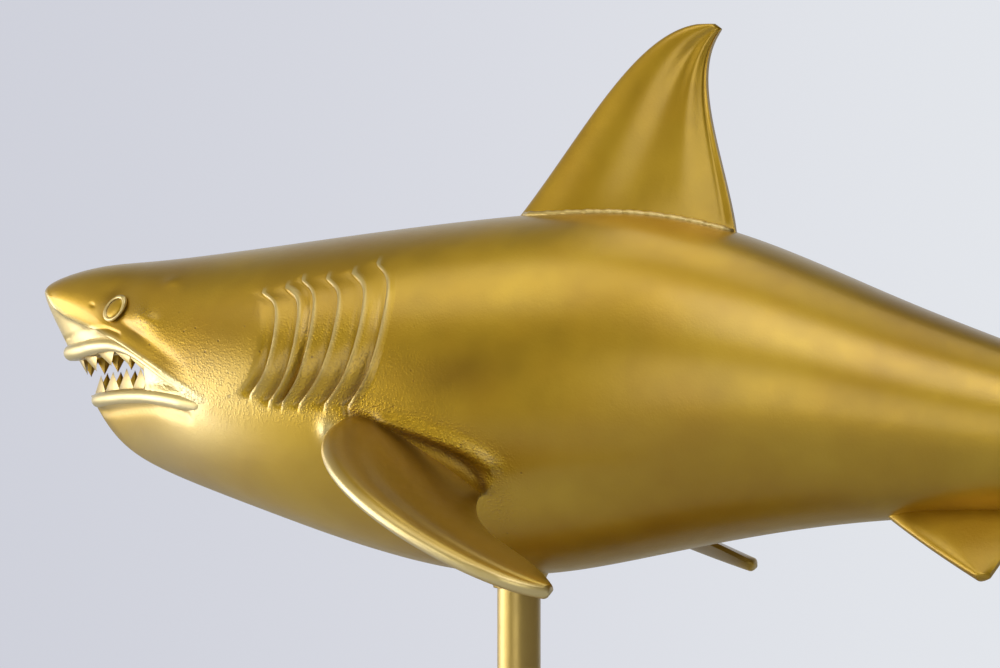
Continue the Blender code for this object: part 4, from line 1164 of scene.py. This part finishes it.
# %% [markdown]
# The photograph was taken before a plain pale wall in soft light. The wall is bluish at the upper left and
# nearly white at the upper right. The metal mirrors that wall, a warmer one at the left and a dim warm one at
# the right. The rest of the room is dark, and the lamps are large and soft: most of the light comes from high
# in front and from the left. A small one lies under the chin.

# %% Wall, floor and lamps
world = bpy.data.worlds.new("wall")
bpy.context.scene.world = world
world.use_nodes = True
tree = world.node_tree
tree.nodes.clear()
heading = node(tree, "ShaderNodeTexCoord").outputs["Generated"]


def toward(direction, start, end):
    """How far the view turns towards a direction: 0 up to the start cosine, 1 from the end cosine."""
    dot, soft = {"operation": "DOT_PRODUCT"}, {"interpolation_type": "SMOOTHSTEP"}
    cosine = node(tree, "ShaderNodeVectorMath", dot, n0=heading, n1=direction).outputs["Value"]
    return node(tree, "ShaderNodeMapRange", soft, n0=cosine, n1=start, n2=end).outputs["Result"]


across = (math.cos(CAMERA_TURN), math.sin(CAMERA_TURN), 0)
blues = (0.0, colour("#CED0DA")), (0.5, colour("#D9DBE3")), (1.0, colour("#E4E7EC"))
wall = ramp(tree, toward(across, -0.14, 0.14), *blues)
room = colour("#15130F")
for direction, tone in (((-1, 0, 0), "#BFB48B"), ((1, 0, 0), "#6E6450"), (tuple(view_direction), "#C6C8CC")):
    share = toward(direction, 0.3, 0.9)
    room = node(tree, "ShaderNodeMix", BLEND, n0=share, n6=room, n7=colour(tone)).outputs[2]
path = node(tree, "ShaderNodeLightPath").outputs
shown = node(tree, "ShaderNodeBackground", Color=wall, Strength=1.0)
around = node(tree, "ShaderNodeBackground", Color=room, Strength=1.0)
mixed = node(tree, "ShaderNodeMixShader", n0=path["Is Camera Ray"], n1=around.outputs[0], n2=shown.outputs[0])
tree.links.new(mixed.outputs[0], node(tree, "ShaderNodeOutputWorld").inputs["Surface"])

bm = bmesh.new()
bmesh.ops.create_circle(bm, cap_ends=True, segments=128, radius=1.5)
ground = finished("floor", bm)
pale = bpy.data.materials.new("pale_floor")
pale.use_nodes = True
shader = pale.node_tree.nodes["Principled BSDF"]
shader.inputs["Base Color"].default_value = colour("#D6D8DE")
shader.inputs["Roughness"].default_value = 0.9
ground.data.materials.append(pale)


def lamp(name, place, size, watts, tint="#FFFFFF"):
    """A square area lamp aimed at the middle of the fish."""
    data = bpy.data.lights.new(name, "AREA")
    data.shape, data.size, data.energy, data.color = "SQUARE", size, watts, colour(tint)[:3]
    made = bpy.data.objects.new(name, data)
    bpy.context.scene.collection.objects.link(made)
    made.location = place
    made.rotation_euler = (Vector((0, 0, 0.26)) - made.location).to_track_quat("-Z", "Y").to_euler()
    return made


lamp("front_high", (0.5, -1.6, 2.0), 1.2, 13.4)
lamp("left_high", (-0.9, -1.2, 2.2), 1.2, 8.4, "#FFFADB")
lamp("top", (0.0, 0.1, 2.4), 1.2, 7.7, "#FFFADB")
lamp("front", (0.2, -2.4, 0.5), 1.0, 7.5, "#FFFADB")
lamp("left_front", (-1.6, -1.4, 0.35), 1.0, 6.5, "#FFFADB")
lamp("left", (-2.0, 0.2, 0.3), 1.0, 2.5)
lamp("chin", (-0.62, -0.16, 0.17), 0.32, 1.1)
bpy.context.scene.view_settings.view_transform = "Standard"
